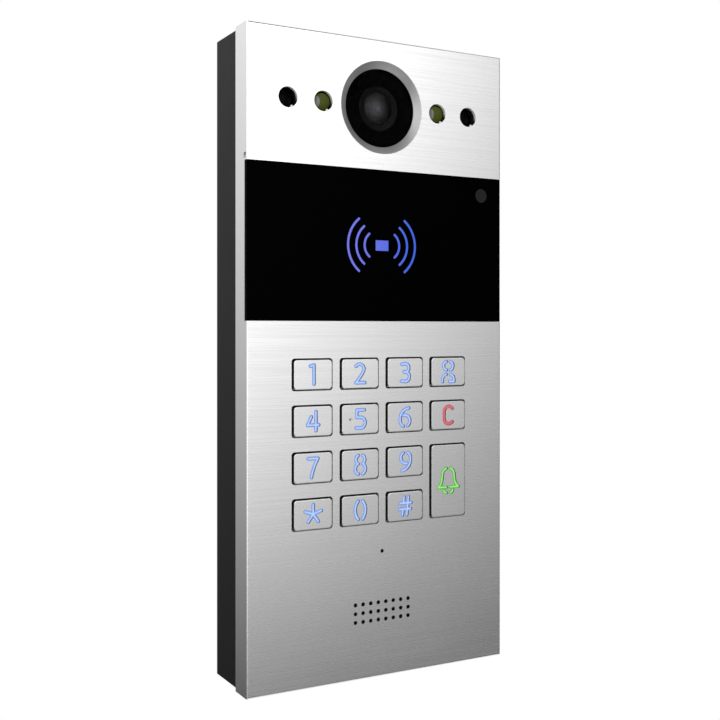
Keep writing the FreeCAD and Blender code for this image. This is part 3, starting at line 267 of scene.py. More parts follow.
class Paint(Graph):
    """A material: a Principled shader and the graph behind it."""

    def __init__(self, name, **constants):
        self.material = bpy.data.materials.new(name)
        self.material.use_nodes = True
        super().__init__(self.material.node_tree)
        self.shader = self.tree.nodes["Principled BSDF"]
        self.place = self.add("ShaderNodeTexCoord", output="Object")
        self.facing = Wire(self, self.place.socket.node.outputs["Normal"])
        for socket, value in constants.items():
            self.feed(socket.replace("_", " "), value)

    def feed(self, socket, value):
        """Gives one socket of the Principled shader a value or a link."""
        self.put(self.shader.inputs[socket], value)

    def stretch(self, sizes):
        """Object coordinates divided by a cell size in each direction."""
        scales = tuple(1 / size for size in sizes)
        settings = {"operation": "MULTIPLY"}
        return self.add("ShaderNodeVectorMath", settings, [self.place, scales])

    def noise(self, sizes, detail=2.0, roughness=0.5):
        """Cloudy values round 0.5, with cells of the given sizes in metres."""
        inputs = {
            "Vector": self.stretch(sizes),
            "Scale": 1.0,
            "Detail": detail,
            "Roughness": roughness,
        }
        return self.add("ShaderNodeTexNoise", None, inputs)

    def cells(self, size, feature="F1", distance="EUCLIDEAN", output=0):
        """Voronoi cells of a size in metres: the distance to a cell's point or edge, or its tint."""
        settings = {"feature": feature}
        if feature != "DISTANCE_TO_EDGE":
            settings["distance"] = distance
        inputs = {"Vector": self.stretch((size, size, size)), "Scale": 1.0}
        return self.add("ShaderNodeTexVoronoi", settings, inputs, output)

    def bump(self, height, strength, distance):
        """Fine relief on the shader's normal, distance high."""
        inputs = {"Strength": strength, "Distance": distance, "Height": height}
        self.feed("Normal", self.add("ShaderNodeBump", None, inputs))


# Meshes


def grid_faces(rows, columns, start):
    """Quads between neighbouring rows and columns, with the last column joined to the first."""
    index = start + np.arange(rows * columns).reshape(rows, columns)
    index = np.hstack([index, index[:, :1]])
    corners = [index[:-1, :-1], index[1:, :-1], index[1:, 1:], index[:-1, 1:]]
    return np.stack(corners, axis=-1).reshape(-1, 4)


def make_mesh(name, surfaces, sharp=math.radians(40)):
    """A mesh object from closed bands of points, each rows by columns by 3.

    Seams and poles are merged, and edges sharper than sharp stay crisp.
    """
    points = np.concatenate([surface.reshape(-1, 3) for surface in surfaces])
    starts = np.cumsum([0, *(surface.shape[0] * surface.shape[1] for surface in surfaces)])
    faces = np.concatenate(
        [grid_faces(*surface.shape[:2], start) for surface, start in zip(surfaces, starts)]
    )
    mesh = bpy.data.meshes.new(name)
    mesh.from_pydata(points.tolist(), [], faces.tolist())
    close_mesh(mesh)
    mesh.shade_smooth()
    mesh.set_sharp_from_angle(angle=sharp)
    piece = bpy.data.objects.new(name, mesh)
    bpy.context.scene.collection.objects.link(piece)
    return piece


def close_mesh(mesh):
    """Merges doubled points, removes faces with no area and turns every shell outwards."""
    shape = bmesh.new()
    shape.from_mesh(mesh)
    bmesh.ops.remove_doubles(shape, verts=shape.verts, dist=1e-7)
    bmesh.ops.dissolve_degenerate(shape, edges=shape.edges, dist=1e-7)
    bmesh.ops.recalc_face_normals(shape, faces=shape.faces)
    shape.to_mesh(mesh)
    shape.free()


def turned(profile, x=0.0, z=0.0, around=64, swell=None):
    """A surface of revolution about a line along Y: radius and height pairs carried round.

    A point is (x + r cos a, -h, z + r sin a), for each profile point (r, h) and each angle a.
    swell gives what is added to r at each angle.
    """
    radius, height = np.asarray(profile, float).T
    angle = np.linspace(0, TAU, around, endpoint=False)
    reach = radius[:, None] + (0 if swell is None else swell(angle))
    across = x + reach * np.cos(angle)
    up = z + reach * np.sin(angle)
    out = np.repeat(-height[:, None], around, axis=1)
    return np.stack([across, out, up], axis=-1)


def closed(profile):
    """A profile that returns to its first point, so that the band it sweeps is a closed ring."""
    return [*profile, profile[0]]


def dome_profile(radius, base, rise, steps=12):
    """Points of a spherical cap from its rim, at radius and base, to its top, rise above.

    The ball's radius is (radius squared + rise squared) / (2 rise).
    """
    ball = (radius**2 + rise**2) / (2 * rise)
    angle = np.linspace(math.asin(min(1.0, radius / ball)), 0, steps)
    return [(ball * math.sin(a), base + rise - ball + ball * math.cos(a)) for a in angle]


def finish_piece(piece, material, body, nodes=()):
    """Gives a piece its material, body and slot, and the CAD nodes that it stands for."""
    piece.data.materials.append(material)
    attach(piece, body)
    if nodes:
        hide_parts(*nodes)
    return piece


def nodes_with(*slots):
    """The CAD nodes whose material slot is one of these."""
    return [part["node"] for part in RECORD["subparts"] if part["material_slot"] in slots]


def dress(material, *slots):
    """Gives every CAD node of the slots this material."""
    for node in nodes_with(*slots):
        for slot in frame["nodes"][node].material_slots:
            slot.material = material


# Finishes


def scaled(tint, gain, lift=0.0):
    """A colour with each channel times gain plus lift, at most 1."""
    return tuple(min(1.0, gain * channel + lift) for channel in tint)


def cube(size):
    """The same cell size in each direction."""
    return (size, size, size)


def from_axis(paint, level):
    """The distance from the camera's axis, which runs along Y at this height."""
    across, _, up = paint.split(paint.place)
    high = up - level
    return (across * across + high * high) ** 0.5


def brushed_metal(name, look, walls, calm=0.0):
    """Aluminium brushed along X: long fine streaks in colour, roughness and height.

    walls gives two masks from the paint: hidden walls painted dark as shade, and walls left matt.
    """
    paint = Paint(name, Metallic=1.0)
    reach, width = look.streak_length, look.streak_width
    fine = paint.noise((reach, reach, width), detail=1.5)
    coarse = paint.noise((1.8 * reach, 1.8 * reach, 3.2 * width), detail=1.0)
    cloud = paint.noise((0.03, 0.03, 0.02), detail=3.0)
    streak = fine * 0.5 + coarse * 0.5
    contrast = paint.fade(streak, 0.34, 0.66)
    front = paint.fade(paint.split(paint.facing)[1], -0.35, -0.8)
    share = contrast * (front * (0.72 - calm) + 0.03) + cloud * 0.2
    bare = paint.mix(share, look.light, look.dark)
    dark, matt = walls(paint)
    # Painted shade: the dark mask paints hidden walls near black, as shadow in the gaps and holes.
    paint.feed("Base Color", paint.mix(dark, bare, (0.004, 0.004, 0.004)))
    paint.feed("Metallic", 1 - dark.largest(matt * 0.8))
    paint.feed("Roughness", look.roughness + contrast * front * 0.06 + cloud * 0.05 + dark * 0.5)
    paint.bump(fine * front, 0.15, 0.012 * MM)
    return paint.material


def keypad_shade_masks(paint):
    """Masks of the walls of the key openings and of the grille's and microphone's holes.

    They lie below the cover's front and clear of its edges. A wall that faces up is matt, one that
    faces left is partly so, and the rest are painted dark, as painted shade in the gaps and holes.
    """
    across, outward, up = paint.split(paint.place)
    cover_low, cover_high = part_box("front_cover")
    low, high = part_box("keypad_board")
    below = outward > cover_low.y + 0.12 * MM
    lower = up < high.z
    inside = abs(across) < 0.9 * cover_high.x
    clear_of_foot = up > 0.95 * cover_low.z
    side, _, rise = paint.split(paint.facing)
    faces_left = paint.fade(side, -0.5, -0.9) * 0.4
    lit = paint.fade(rise, 0.5, 0.9).largest(faces_left) * (up > low.z)
    # The first mask is painted shade; the second marks walls left matt.
    wall = below * lower * inside * clear_of_foot
    return wall * (1 - lit), wall * lit


def cap_shade_masks(paint):
    """Masks of a key cap's sides.

    They are painted dark below the cover's front and where they face left, and painted duller where
    they face right, as painted shade in the gaps; they are matt where they face down.
    """
    outward = paint.split(paint.place)[1]
    side, _, rise = paint.split(paint.facing)
    lit = paint.fade(rise, -0.5, -0.9)
    # Painted shade: cap surfaces facing left are painted dark, those facing right partly so.
    edge = paint.fade(side, -0.35, -0.6).largest(paint.fade(side, 0.4, 0.8) * 0.6)
    wall = (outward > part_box("front_cover")[0].y + 0.02 * MM).largest(edge)
    return wall * (1 - lit), wall * lit


def turned_metal(name, tint, roughness, bare=1.0):
    """Machined or plated metal: fine tool marks and dull patches. bare is how metallic it is."""
    paint = Paint(name, Metallic=bare)
    marks = paint.noise(cube(0.25 * MM), detail=4.0)
    patches = paint.noise(cube(4 * MM), detail=3.0)
    shade = paint.mix(paint.fade(patches, 0.35, 0.7), tint, scaled(tint, 0.72))
    paint.feed("Base Color", shade)
    paint.feed("Roughness", roughness + marks * 0.12 + patches * 0.1)
    paint.bump(marks, 0.25, 0.01 * MM)
    return paint.material


def satin_ring(name, level):
    """A turned cone: fine rings about the camera's axis, grey and evenly rough."""
    paint = Paint(name, Metallic=0.88, Specular_IOR_Level=0.3)
    ring_width = 0.07 * MM
    inputs = {"W": from_axis(paint, level) / ring_width, "Scale": 1.0, "Detail": 2.0}
    rings = paint.add("ShaderNodeTexNoise", {"noise_dimensions": "1D"}, inputs)
    cloud = paint.noise(cube(3 * MM), detail=2.0)
    worn = rings * 0.6 + cloud * 0.4
    paint.feed("Base Color", paint.mix(worn, (0.66, 0.66, 0.66), (0.5, 0.5, 0.505)))
    paint.feed("Roughness", 0.42 + rings * 0.08)
    paint.bump(rings, 0.1, 0.01 * MM)
    return paint.material


def zinc_sheet(name, tint):
    """Zinc-plated sheet: angular crystals of slightly different grey, with scuffs."""
    paint = Paint(name, Metallic=1.0)
    crystal = paint.cells(6 * MM, output=1)
    shade = paint.split(crystal)[0]
    scuff = paint.noise((1 * MM, 1 * MM, 9 * MM), detail=5.0, roughness=0.65)
    paint.feed("Base Color", paint.mix(shade * 0.5 + scuff * 0.3, tint, scaled(tint, 0.66)))
    paint.feed("Roughness", 0.3 + shade * 0.12 + scuff * 0.14)
    paint.bump(scuff, 0.2, 0.03 * MM)
    return paint.material


def moulded(name, tint, roughness, grain=0.28 * MM, depth=0.35, shine=0.4):
    """Moulded plastic: fine eroded grain, a little cloudiness and a trace of dust."""
    paint = Paint(name, Specular_IOR_Level=shine)
    pits = paint.noise(cube(grain), detail=3.0, roughness=0.6)
    cloud = paint.noise((14 * MM, 14 * MM, 22 * MM), detail=3.0)
    dust = paint.fade(paint.noise(cube(2.5 * MM), detail=6.0), 0.58, 0.8)
    worn = cloud * 0.35 + dust * 0.3 + pits * 0.12
    paint.feed("Base Color", paint.mix(worn, tint, scaled(tint, 1.6, 0.003)))
    paint.feed("Roughness", roughness + cloud * 0.08 + pits * 0.08)
    paint.bump(pits, depth, 0.03 * MM)
    return paint.material


def soft_rubber(name, tint, roughness):
    """Matt rubber with a faint bloom and mould texture."""
    paint = Paint(name, Specular_IOR_Level=0.3, Sheen_Weight=0.15)
    bloom = paint.noise(cube(5 * MM), detail=4.0)
    skin = paint.noise(cube(0.2 * MM), detail=2.0)
    pale = scaled(tint, 1.35, 0.01)
    paint.feed("Base Color", paint.mix(paint.fade(bloom, 0.4, 0.75), tint, pale))
    paint.feed("Roughness", roughness + bloom * 0.12)
    paint.bump(skin, 0.3, 0.02 * MM)
    return paint.material


def open_foam(name, tint):
    """Foam: small round pores, painted darker in their pits as shade."""
    paint = Paint(name, Specular_IOR_Level=0.1, Roughness=0.95)
    pore = paint.cells(0.5 * MM)
    # Painted shade: each pore is darker towards its pit.
    paint.feed("Base Color", paint.mix(paint.fade(pore, 0.1, 0.5), tint, scaled(tint, 2.2)))
    paint.bump(pore, 0.8, 0.15 * MM)
    return paint.material


def pressed_paper(name, tint):
    """Speaker cone pulp: felted fibres and faint rings."""
    paint = Paint(name, Specular_IOR_Level=0.2, Roughness=0.85)
    fibre = paint.noise((0.8 * MM, 0.8 * MM, 0.15 * MM), detail=5.0, roughness=0.7)
    paint.feed("Base Color", paint.mix(fibre, tint, scaled(tint, 1.8)))
    paint.bump(fibre, 0.6, 0.05 * MM)
    return paint.material


def circuit_board(name):
    """Solder mask over copper: angular traces, small tinned pads, and black parts on the board.

    What stands between the camera board's back and the main board's face is such a part.
    """
    paint = Paint(name, Specular_IOR_Level=0.5)
    trace = paint.fade(paint.cells(2.4 * MM, "DISTANCE_TO_EDGE"), 0.06, 0.02)
    pad = paint.fade(paint.cells(1.9 * MM, "F1", "CHEBYCHEV"), 0.14, 0.10)
    cloud = paint.noise(cube(8 * MM), detail=2.0)
    mask = paint.mix(cloud, (0.008, 0.085, 0.03), (0.014, 0.12, 0.045))
    traced = paint.mix(trace, mask, (0.03, 0.22, 0.09))
    out = paint.split(paint.place)[1]
    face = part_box("main_board")[1].y - 1.7 * MM
    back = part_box("camera_board")[1].y + 0.1 * MM
    tall = (out < face) * (out > back)
    tin = pad * (1 - tall)
    tinned = paint.mix(tin, traced, (0.55, 0.54, 0.5))
    paint.feed("Base Color", paint.mix(tall, tinned, (0.03, 0.03, 0.032)))
    paint.feed("Metallic", tin * 0.9)
    paint.feed("Roughness", 0.34 - pad * 0.06 + cloud * 0.1 + tall * 0.2)
    paint.bump(trace * 0.5 + pad * 0.5, 0.5, 0.03 * MM)
    return paint.material


def black_glass(name):
    """Polished black acrylic: almost no colour of its own, faint wipe marks and dust."""
    paint = Paint(name, Specular_IOR_Level=0.008, IOR=1.49)
    wipe = paint.noise((26 * MM, 26 * MM, 7 * MM), detail=4.0)
    dust = paint.fade(paint.cells(1.3 * MM), 0.05, 0.02)
    bare, dusty = (0.0002, 0.0002, 0.0003), (0.02, 0.02, 0.02)
    paint.feed("Base Color", paint.mix(dust * 0.25, bare, dusty))
    paint.feed("Roughness", 0.05 + paint.fade(wipe, 0.45, 0.75) * 0.10 + dust * 0.3)
    return paint.material


def lit_guide(name, core, rim, across=None):
    """A lit light guide: a bright flat front and deeper coloured sloped sides, a little uneven.

    Given across, the first colour turns into the second from left to right instead.
    """
    paint = Paint(name, Roughness=0.35, Specular_IOR_Level=0.3, Emission_Strength=1.0)
    cloud = paint.noise(cube(1.6 * MM), detail=2.0)
    if across:
        sweep = paint.fade(paint.split(paint.place)[0], -across, across)
        glow = paint.mix(sweep, core, rim)
        base = scaled(core, 0.1)
    else:
        front = paint.fade(paint.split(paint.facing)[1], -0.8, -0.97)
        glow = paint.mix(front, rim, core)
        base = paint.mix(front, scaled(rim, 0.1), scaled(core, 0.2))
    dim = paint.mix(paint.fade(cloud, 0.3, 0.75) * 0.22, glow, scaled(core, 0.55))
    paint.feed("Emission Color", dim)
    paint.feed("Base Color", base)
    return paint.material


def clear_pane(name, tint, alpha, roughness=0.02, shine=0.5):
    """Coated glass that shows mostly what lies behind it."""
    paint = Paint(name, Alpha=alpha, Base_Color=tint, Specular_IOR_Level=shine)
    wipe = paint.noise((9 * MM, 9 * MM, 4 * MM), detail=3.0)
    paint.feed("Roughness", roughness + paint.fade(wipe, 0.5, 0.8) * 0.05)
    return paint.material


def lens_glass(name, level, rings, roughness, alpha=1.0):
    """Coated glass with painted reflections: rings of tint, as (radius from the axis, colour)."""
    paint = Paint(name, Metallic=1.0, Alpha=alpha)
    cloud = paint.noise(cube(1.1 * MM), detail=2.0)
    radius = from_axis(paint, level) + (cloud - 0.5) * 0.5 * MM
    # The rings paint the lens's glint and reflected rings into its tint.
    shade = rings[0][1]
    for (start, tint), (end, next_tint) in zip(rings, rings[1:]):
        shade = paint.mix(paint.fade(radius, start, end), shade, next_tint)
    paint.feed("Base Color", shade)
    paint.feed("Roughness", roughness + cloud * 0.08)
    return paint.material


# Operators


class IntercomOperator(bpy.types.Operator):
    """Shared settings of the panel's operators."""

    bl_options = {"REGISTER", "UNDO"}


class DressCover(IntercomOperator):
    """Brush the cover and the key caps, and black out the window"""

    bl_idname = "intercom.dress_cover"
    bl_label = "Cover and window"

    def execute(self, context):
        look = context.scene.intercom_metal
        dress(brushed_metal("brushed_cover", look, keypad_shade_masks), "cover_metal")
        dress(brushed_metal("brushed_keys", look, cap_shade_masks, calm=0.25), "key_metal")
        dress(black_glass("window_black"), "window_black")
        dress(moulded("sensor_grey", (0.014, 0.014, 0.0145), 0.3, shine=0.1), "sensor_grey")
        return {"FINISHED"}


class LightSymbols(IntercomOperator):
    """Light the digits, the clear and call symbols and the reader symbol"""

    bl_idname = "intercom.light_symbols"
    bl_label = "Lit symbols"

    def execute(self, context):
        glow = context.scene.intercom_glow
        dress(lit_guide("lit_digit", glow.digit, glow.digit_rim), "legend_blue")
        dress(lit_guide("lit_clear", glow.clear, glow.clear_rim), "legend_red")
        dress(lit_guide("lit_call", glow.call, glow.call_rim), "legend_green")
        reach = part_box("reader_symbol")[1].x
        dress(lit_guide("lit_reader", glow.reader_left, glow.reader_right, reach), "symbol_light")
        return {"FINISHED"}


class BuildRims(IntercomOperator):
    """Turn the satin bezel round the camera and the collars in the lamp holes"""

    bl_idname = "intercom.build_rims"
    bl_label = "Bezel and collars"

    def execute(self, context):
        look = context.scene.intercom_lens
        front = -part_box("front_cover")[0].y
        skin = 0.03 * MM
        self.turn_bezel(look, front, skin)
        self.turn_collars(look, front, skin)
        return {"FINISHED"}

    def turn_bezel(self, look, front, skin):
        """A thin cone from the cover's front in to the glass, with a short wall at its foot."""
        z = centre_of("camera_glass").z
        glass = -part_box("camera_glass")[0].y
        outer, inner, fall = look.bezel_outer, look.bezel_inner, look.bezel_depth
        edge = 0.02 * MM
        profile = [
            (outer + skin, front),
            (outer - edge, front + skin / 2),
            (inner - skin, front - fall + skin),
            (inner - 2 * skin, front - fall),
            (inner - 2 * skin, glass + skin),
            (inner, glass + skin),
            (inner, front - fall - skin),
            (outer, front - skin),
        ]
        bands = [turned(closed(profile), 0, z, 160)]
        bezel = make_mesh("camera_bezel", bands, sharp=math.radians(25))
        finish_piece(bezel, satin_ring("bezel_satin", z), "panel")

    def turn_collars(self, look, front, skin):
        """Four thin sleeves down the lamp holes, each with a tooth, painted with a highlight and
        with shade.
        """
        z = centre_of("camera_glass").z
        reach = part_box("infrared_lamps")[1].x - look.lamp_foot
        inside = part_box("white_lamps")[1].x - look.lamp_foot
        hole, depth = look.lamp_hole, look.collar_depth
        wall = 0.06 * MM
        ring = [
            (hole - wall, front - skin),
            (hole - wall, front - depth),
            (hole - wall / 2, front - depth - skin),
            (hole, front - depth),
            (hole, front - skin),
        ]
        collars = [
            turned(closed(ring), x, z, 72, lambda angle: self.tooth(look, angle))
            for x in (-reach, -inside, inside, reach)
        ]
        piece = make_mesh("lamp_collars", collars)
        finish_piece(piece, self.painted_half_lit("collar_painted_light"), "panel")

    def painted_half_lit(self, name):
        """Pale where a wall faces down and left, or outwards, as a painted highlight, and painted
        dark elsewhere as shade.
        """
        paint = Paint(name, Metallic=0.1)
        side, outward, rise = paint.split(paint.facing)
        wall = paint.fade(side * -0.5 - rise * 0.86, 0.15, 0.7)
        lit = wall.largest(paint.fade(outward, -0.5, -0.9))
        marks = paint.noise(cube(0.25 * MM), detail=3.0)
        bright = paint.mix(marks * 0.3, (0.95, 0.95, 0.95), (0.7, 0.7, 0.7))
        # Painted highlight and painted shade: the colour depends only on which way the wall faces.
        paint.feed("Base Color", paint.mix(lit, (0.002, 0.002, 0.002), bright))
        paint.feed("Roughness", 0.45 + marks * 0.2)
        return paint.material

    def tooth(self, look, angle):
        """A small locating tooth: over a short arc the collar's inner points dip by its height."""
        away = np.angle(np.exp(1j * (angle - look.tooth_angle))) / look.tooth_width
        inner = np.array([[1], [1], [1], [0], [0], [1]])
        return -look.tooth_height * inner * np.clip(1.6 * (1 - np.abs(away)), 0, 1)


class BuildLens(IntercomOperator):
    """Build the stepped barrel and the coated glasses of the camera"""

    bl_idname = "intercom.build_lens"
    bl_label = "Camera lens"

    def execute(self, context):
        look = context.scene.intercom_lens
        low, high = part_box("lens_barrel")
        z = (low.z + high.z) / 2
        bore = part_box("lens_element")[1].x
        top = -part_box("lens_element")[0].y
        dress(clear_pane("camera_glass", (0.0, 0.0, 0.0), 0.06, shine=0.12), "clear_glass")
        holder = moulded("holder_black", (0.0004, 0.0004, 0.0004), 0.7, shine=0.004)
        dress(holder, "holder_black")
        self.turn_barrel(look, z, bore)
        self.turn_front(z, bore - 0.1 * MM, top)
        self.turn_inner(z, 0.62 * bore, top)
        return {"FINISHED"}

    def turn_barrel(self, look, z, bore):
        """A rounded outside, a lip, a short funnel, then baffle steps down to the floor."""
        low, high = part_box("lens_barrel")
        radius, top, foot = high.x, -low.y, -high.y
        foot_round, lip_round, lip_width = 0.3 * MM, 0.15 * MM, 0.5 * MM
        funnel, ledge, depth, base = 0.55 * MM, 0.45 * MM, 2.2 * MM, 1 * MM
        side = [(radius - foot_round, foot), (radius, foot + foot_round), (radius, top - lip_round)]
        lip = [(radius - lip_round, top), (radius - lip_width, top)]
        throat = [(bore + 0.1 * MM, top - lip_width), (bore, top - funnel)]
        steps = []
        for step in range(1, look.steps + 1):
            level = top - funnel - step * depth / look.steps
            inner = bore - step * ledge
            steps += [
                (inner + ledge, level),
                (inner + 0.05 * MM, level),
                (inner, level - 0.04 * MM),
            ]
        floor = [(steps[-1][0], foot + base), (0, foot + base)]
        profile = [(0, foot), *side, *lip, *throat, *steps, *floor]
        barrel = make_mesh("lens_barrel_turned", [turned(profile, 0, z, 96)])
        black = moulded("barrel_black", (0.002, 0.002, 0.002), 0.4, shine=0.09)
        finish_piece(barrel, black, "panel", ["lens_barrel"])

    def turn_front(self, z, rim, top):
        """The front glass: a low dome over a flatter back, smoked, with a painted glint in rings."""
        rise, back_rise = 0.45 * MM, 0.2 * MM
        dome = dome_profile(rim, top - rise, rise, 20)
        back = dome_profile(rim, top - rise - 0.1 * MM, back_rise, 8)[::-1]
        front = make_mesh("front_lens", [turned([*back, *dome], 0, z, 72)])
        # Smoked glass with a painted glint: the tint is brightest at the middle.
        smoke_and_glint = [
            (0.0, (0.125, 0.145, 0.115)),
            (0.10 * rim, (0.080, 0.095, 0.075)),
            (0.22 * rim, (0.048, 0.050, 0.084)),
            (0.34 * rim, (0.054, 0.054, 0.048)),
            (0.55 * rim, (0.034, 0.032, 0.032)),
            (rim, (0.013, 0.013, 0.013)),
        ]
        glass = lens_glass("lens_front", z, smoke_and_glint, 0.22, alpha=0.85)
        finish_piece(front, glass, "panel", ["lens_element"])

    def turn_inner(self, z, rim, top):
        """The inner glass, a steeper dome below the front one, coated, with a painted glint in
        rings.
        """
        dome = dome_profile(rim, top - 2.0 * MM, 0.9 * MM, 14)
        back = [(0, top - 2.4 * MM), (rim, top - 2.3 * MM)]
        inner = make_mesh("inner_lens", [turned([*back, *dome], 0, z, 60)])
        # Coating tints with a painted glint: the middle is painted bright.
        coats_and_glint = [
            (0.0, (0.75, 0.85, 0.75)),
            (0.16 * rim, (0.30, 0.36, 0.30)),
            (0.34 * rim, (0.10, 0.12, 0.28)),
            (0.52 * rim, (0.16, 0.20, 0.12)),
            (0.75 * rim, (0.16, 0.10, 0.06)),
            (rim, (0.03, 0.03, 0.03)),
        ]
        glass = lens_glass("lens_inner", z, coats_and_glint, 0.16)
        finish_piece(inner, glass, "panel")


class BuildLamps(IntercomOperator):
    """Build the white lamps with their phosphor cups and painted highlights, and tint the infrared
    lamps
    """

    bl_idname = "intercom.build_lamps"
    bl_label = "Lamps"

    def execute(self, context):
        look = context.scene.intercom_lens
        low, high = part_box("white_lamps")
        z = (low.z + high.z) / 2
        foot, top = -high.y, -low.y
        foot_radius = (high.z - low.z) / 2
        offset = high.x - foot_radius
        flange, shoulder, cup_depth = 1 * MM, 1.05 * MM, 2 * MM
        radius = foot_radius - 0.35 * MM
        rise = 0.2 * radius
        wide = radius - 0.08 * MM
        level = top - rise - 0.1 * MM
        base = [
            (0, foot),
            (foot_radius, foot),
            (foot_radius, foot + flange),
            (radius, foot + shoulder),
        ]
        shell_profile = [*base, *dome_profile(radius, top - rise, rise, 16)]
        block = [(0, level - cup_depth), (wide, level - cup_depth), (wide, level)]
        cup_profile = [*block, *dome_profile(wide, level, rise, 12)]
        places = (-offset, offset)
        shell = make_mesh("white_lamp_shells", [turned(shell_profile, x, z, 48) for x in places])
        clear = clear_pane("lamp_shell", (0.1, 0.12, 0.01), 0.06, 0.03, 0.15)
        finish_piece(shell, clear, "panel", ["white_lamps"])
        phosphor = Paint("lamp_phosphor", Roughness=0.5, Specular_IOR_Level=0.3)
        speck = phosphor.noise(cube(0.15 * MM))
        shade = phosphor.mix(speck, look.phosphor, scaled(look.phosphor, 0.6))
        phosphor.feed("Base Color", shade)
        cups = make_mesh("white_lamp_cups", [turned(cup_profile, x, z, 40) for x in places])
        finish_piece(cups, phosphor.material, "panel")
        # Painted highlight: a grey patch on each lamp's left side stands for the reflection there.
        highlight_shapes = [self.painted_lamp_highlight(x, z, wide, level, rise) for x in places]
        highlight_grey = turned_metal("painted_lamp_highlight", (0.30, 0.30, 0.28), 0.5, bare=0.2)
        finish_piece(make_mesh("lamp_highlight_pieces", highlight_shapes), highlight_grey, "panel")
        dark = moulded("lamp_dark", (0.0006, 0.0006, 0.001), 0.25, depth=0.05, shine=0.03)
        dress(dark, "lamp_dark")
        return {"FINISHED"}

    def painted_lamp_highlight(self, x, z, radius, level, rise):
        """A painted highlight on a lamp: a grey ellipse wrapped on the phosphor's left side as a low
        dome.

        With u the share of the way out and a the angle, the point on the ellipse is (across, up) =
        (-0.66 R + 0.26 R u cos a, -0.08 R + 0.66 R u sin a), and it stands on the phosphor's
        sphere, raised by 0.03 R (1 - u squared).
        """
        share = np.linspace(0, 1, 8)[:, None]
        angle = np.linspace(0, TAU, 36, endpoint=False)
        across = radius * (-0.66 + 0.26 * share * np.cos(angle))
        up = radius * (-0.08 + 0.66 * share * np.sin(angle))
        ball = (radius**2 + rise**2) / (2 * rise)
        bow = rise - ball + np.sqrt(ball**2 - across**2 - up**2)
        height = level + bow + 0.03 * radius * (1 - share**2)
        top = np.stack([x + across, -height, z + up], axis=-1)
        under = np.stack([x + across, -(height - 0.12 * radius), z + up], axis=-1)[::-1]
        return np.concatenate([top, under])


class DressInside(IntercomOperator):
    """Finish the boards, keypad mat, domes, microphone, speaker and sockets inside"""

    bl_idname = "intercom.dress_inside"
    bl_label = "Inside"

    def execute(self, context):
        dress(circuit_board("circuit_board"), "board_green")
        dress(soft_rubber("silicone_grey", (0.10, 0.10, 0.105), 0.6), "silicone_grey")
        dress(turned_metal("dome_steel", (0.66, 0.65, 0.62), 0.22), "dome_steel")
        dress(turned_metal("capsule_metal", (0.62, 0.62, 0.62), 0.3), "capsule_metal")
        dress(open_foam("foam_black", (0.012, 0.012, 0.012)), "foam_black")
        dress(moulded("speaker_steel", (0.02, 0.02, 0.021), 0.35, 0.5 * MM, 0.15), "speaker_steel")
        dress(pressed_paper("speaker_paper", (0.035, 0.034, 0.033)), "speaker_paper")
        dress(moulded("terminal_green", (0.02, 0.22, 0.07), 0.42), "terminal_green")
        dress(moulded("socket_black", (0.014, 0.014, 0.015), 0.4), "socket_black")
        return {"FINISHED"}


class DressBack(IntercomOperator):
    """Finish the housing, seals, grommet, bracket and screws"""

    bl_idname = "intercom.dress_back"
    bl_label = "Housing and bracket"

    def execute(self, context):
        dress(moulded("housing_black", (0.004, 0.004, 0.0042), 0.45, shine=0.19), "housing_black")
        dress(soft_rubber("rubber_black", (0.014, 0.014, 0.014), 0.68), "rubber_black")
        dress(turned_metal("screw_steel", (0.6, 0.6, 0.61), 0.26), "screw_steel")
        dress(zinc_sheet("bracket_steel", (0.62, 0.63, 0.65)), "bracket_steel")
        return {"FINISHED"}


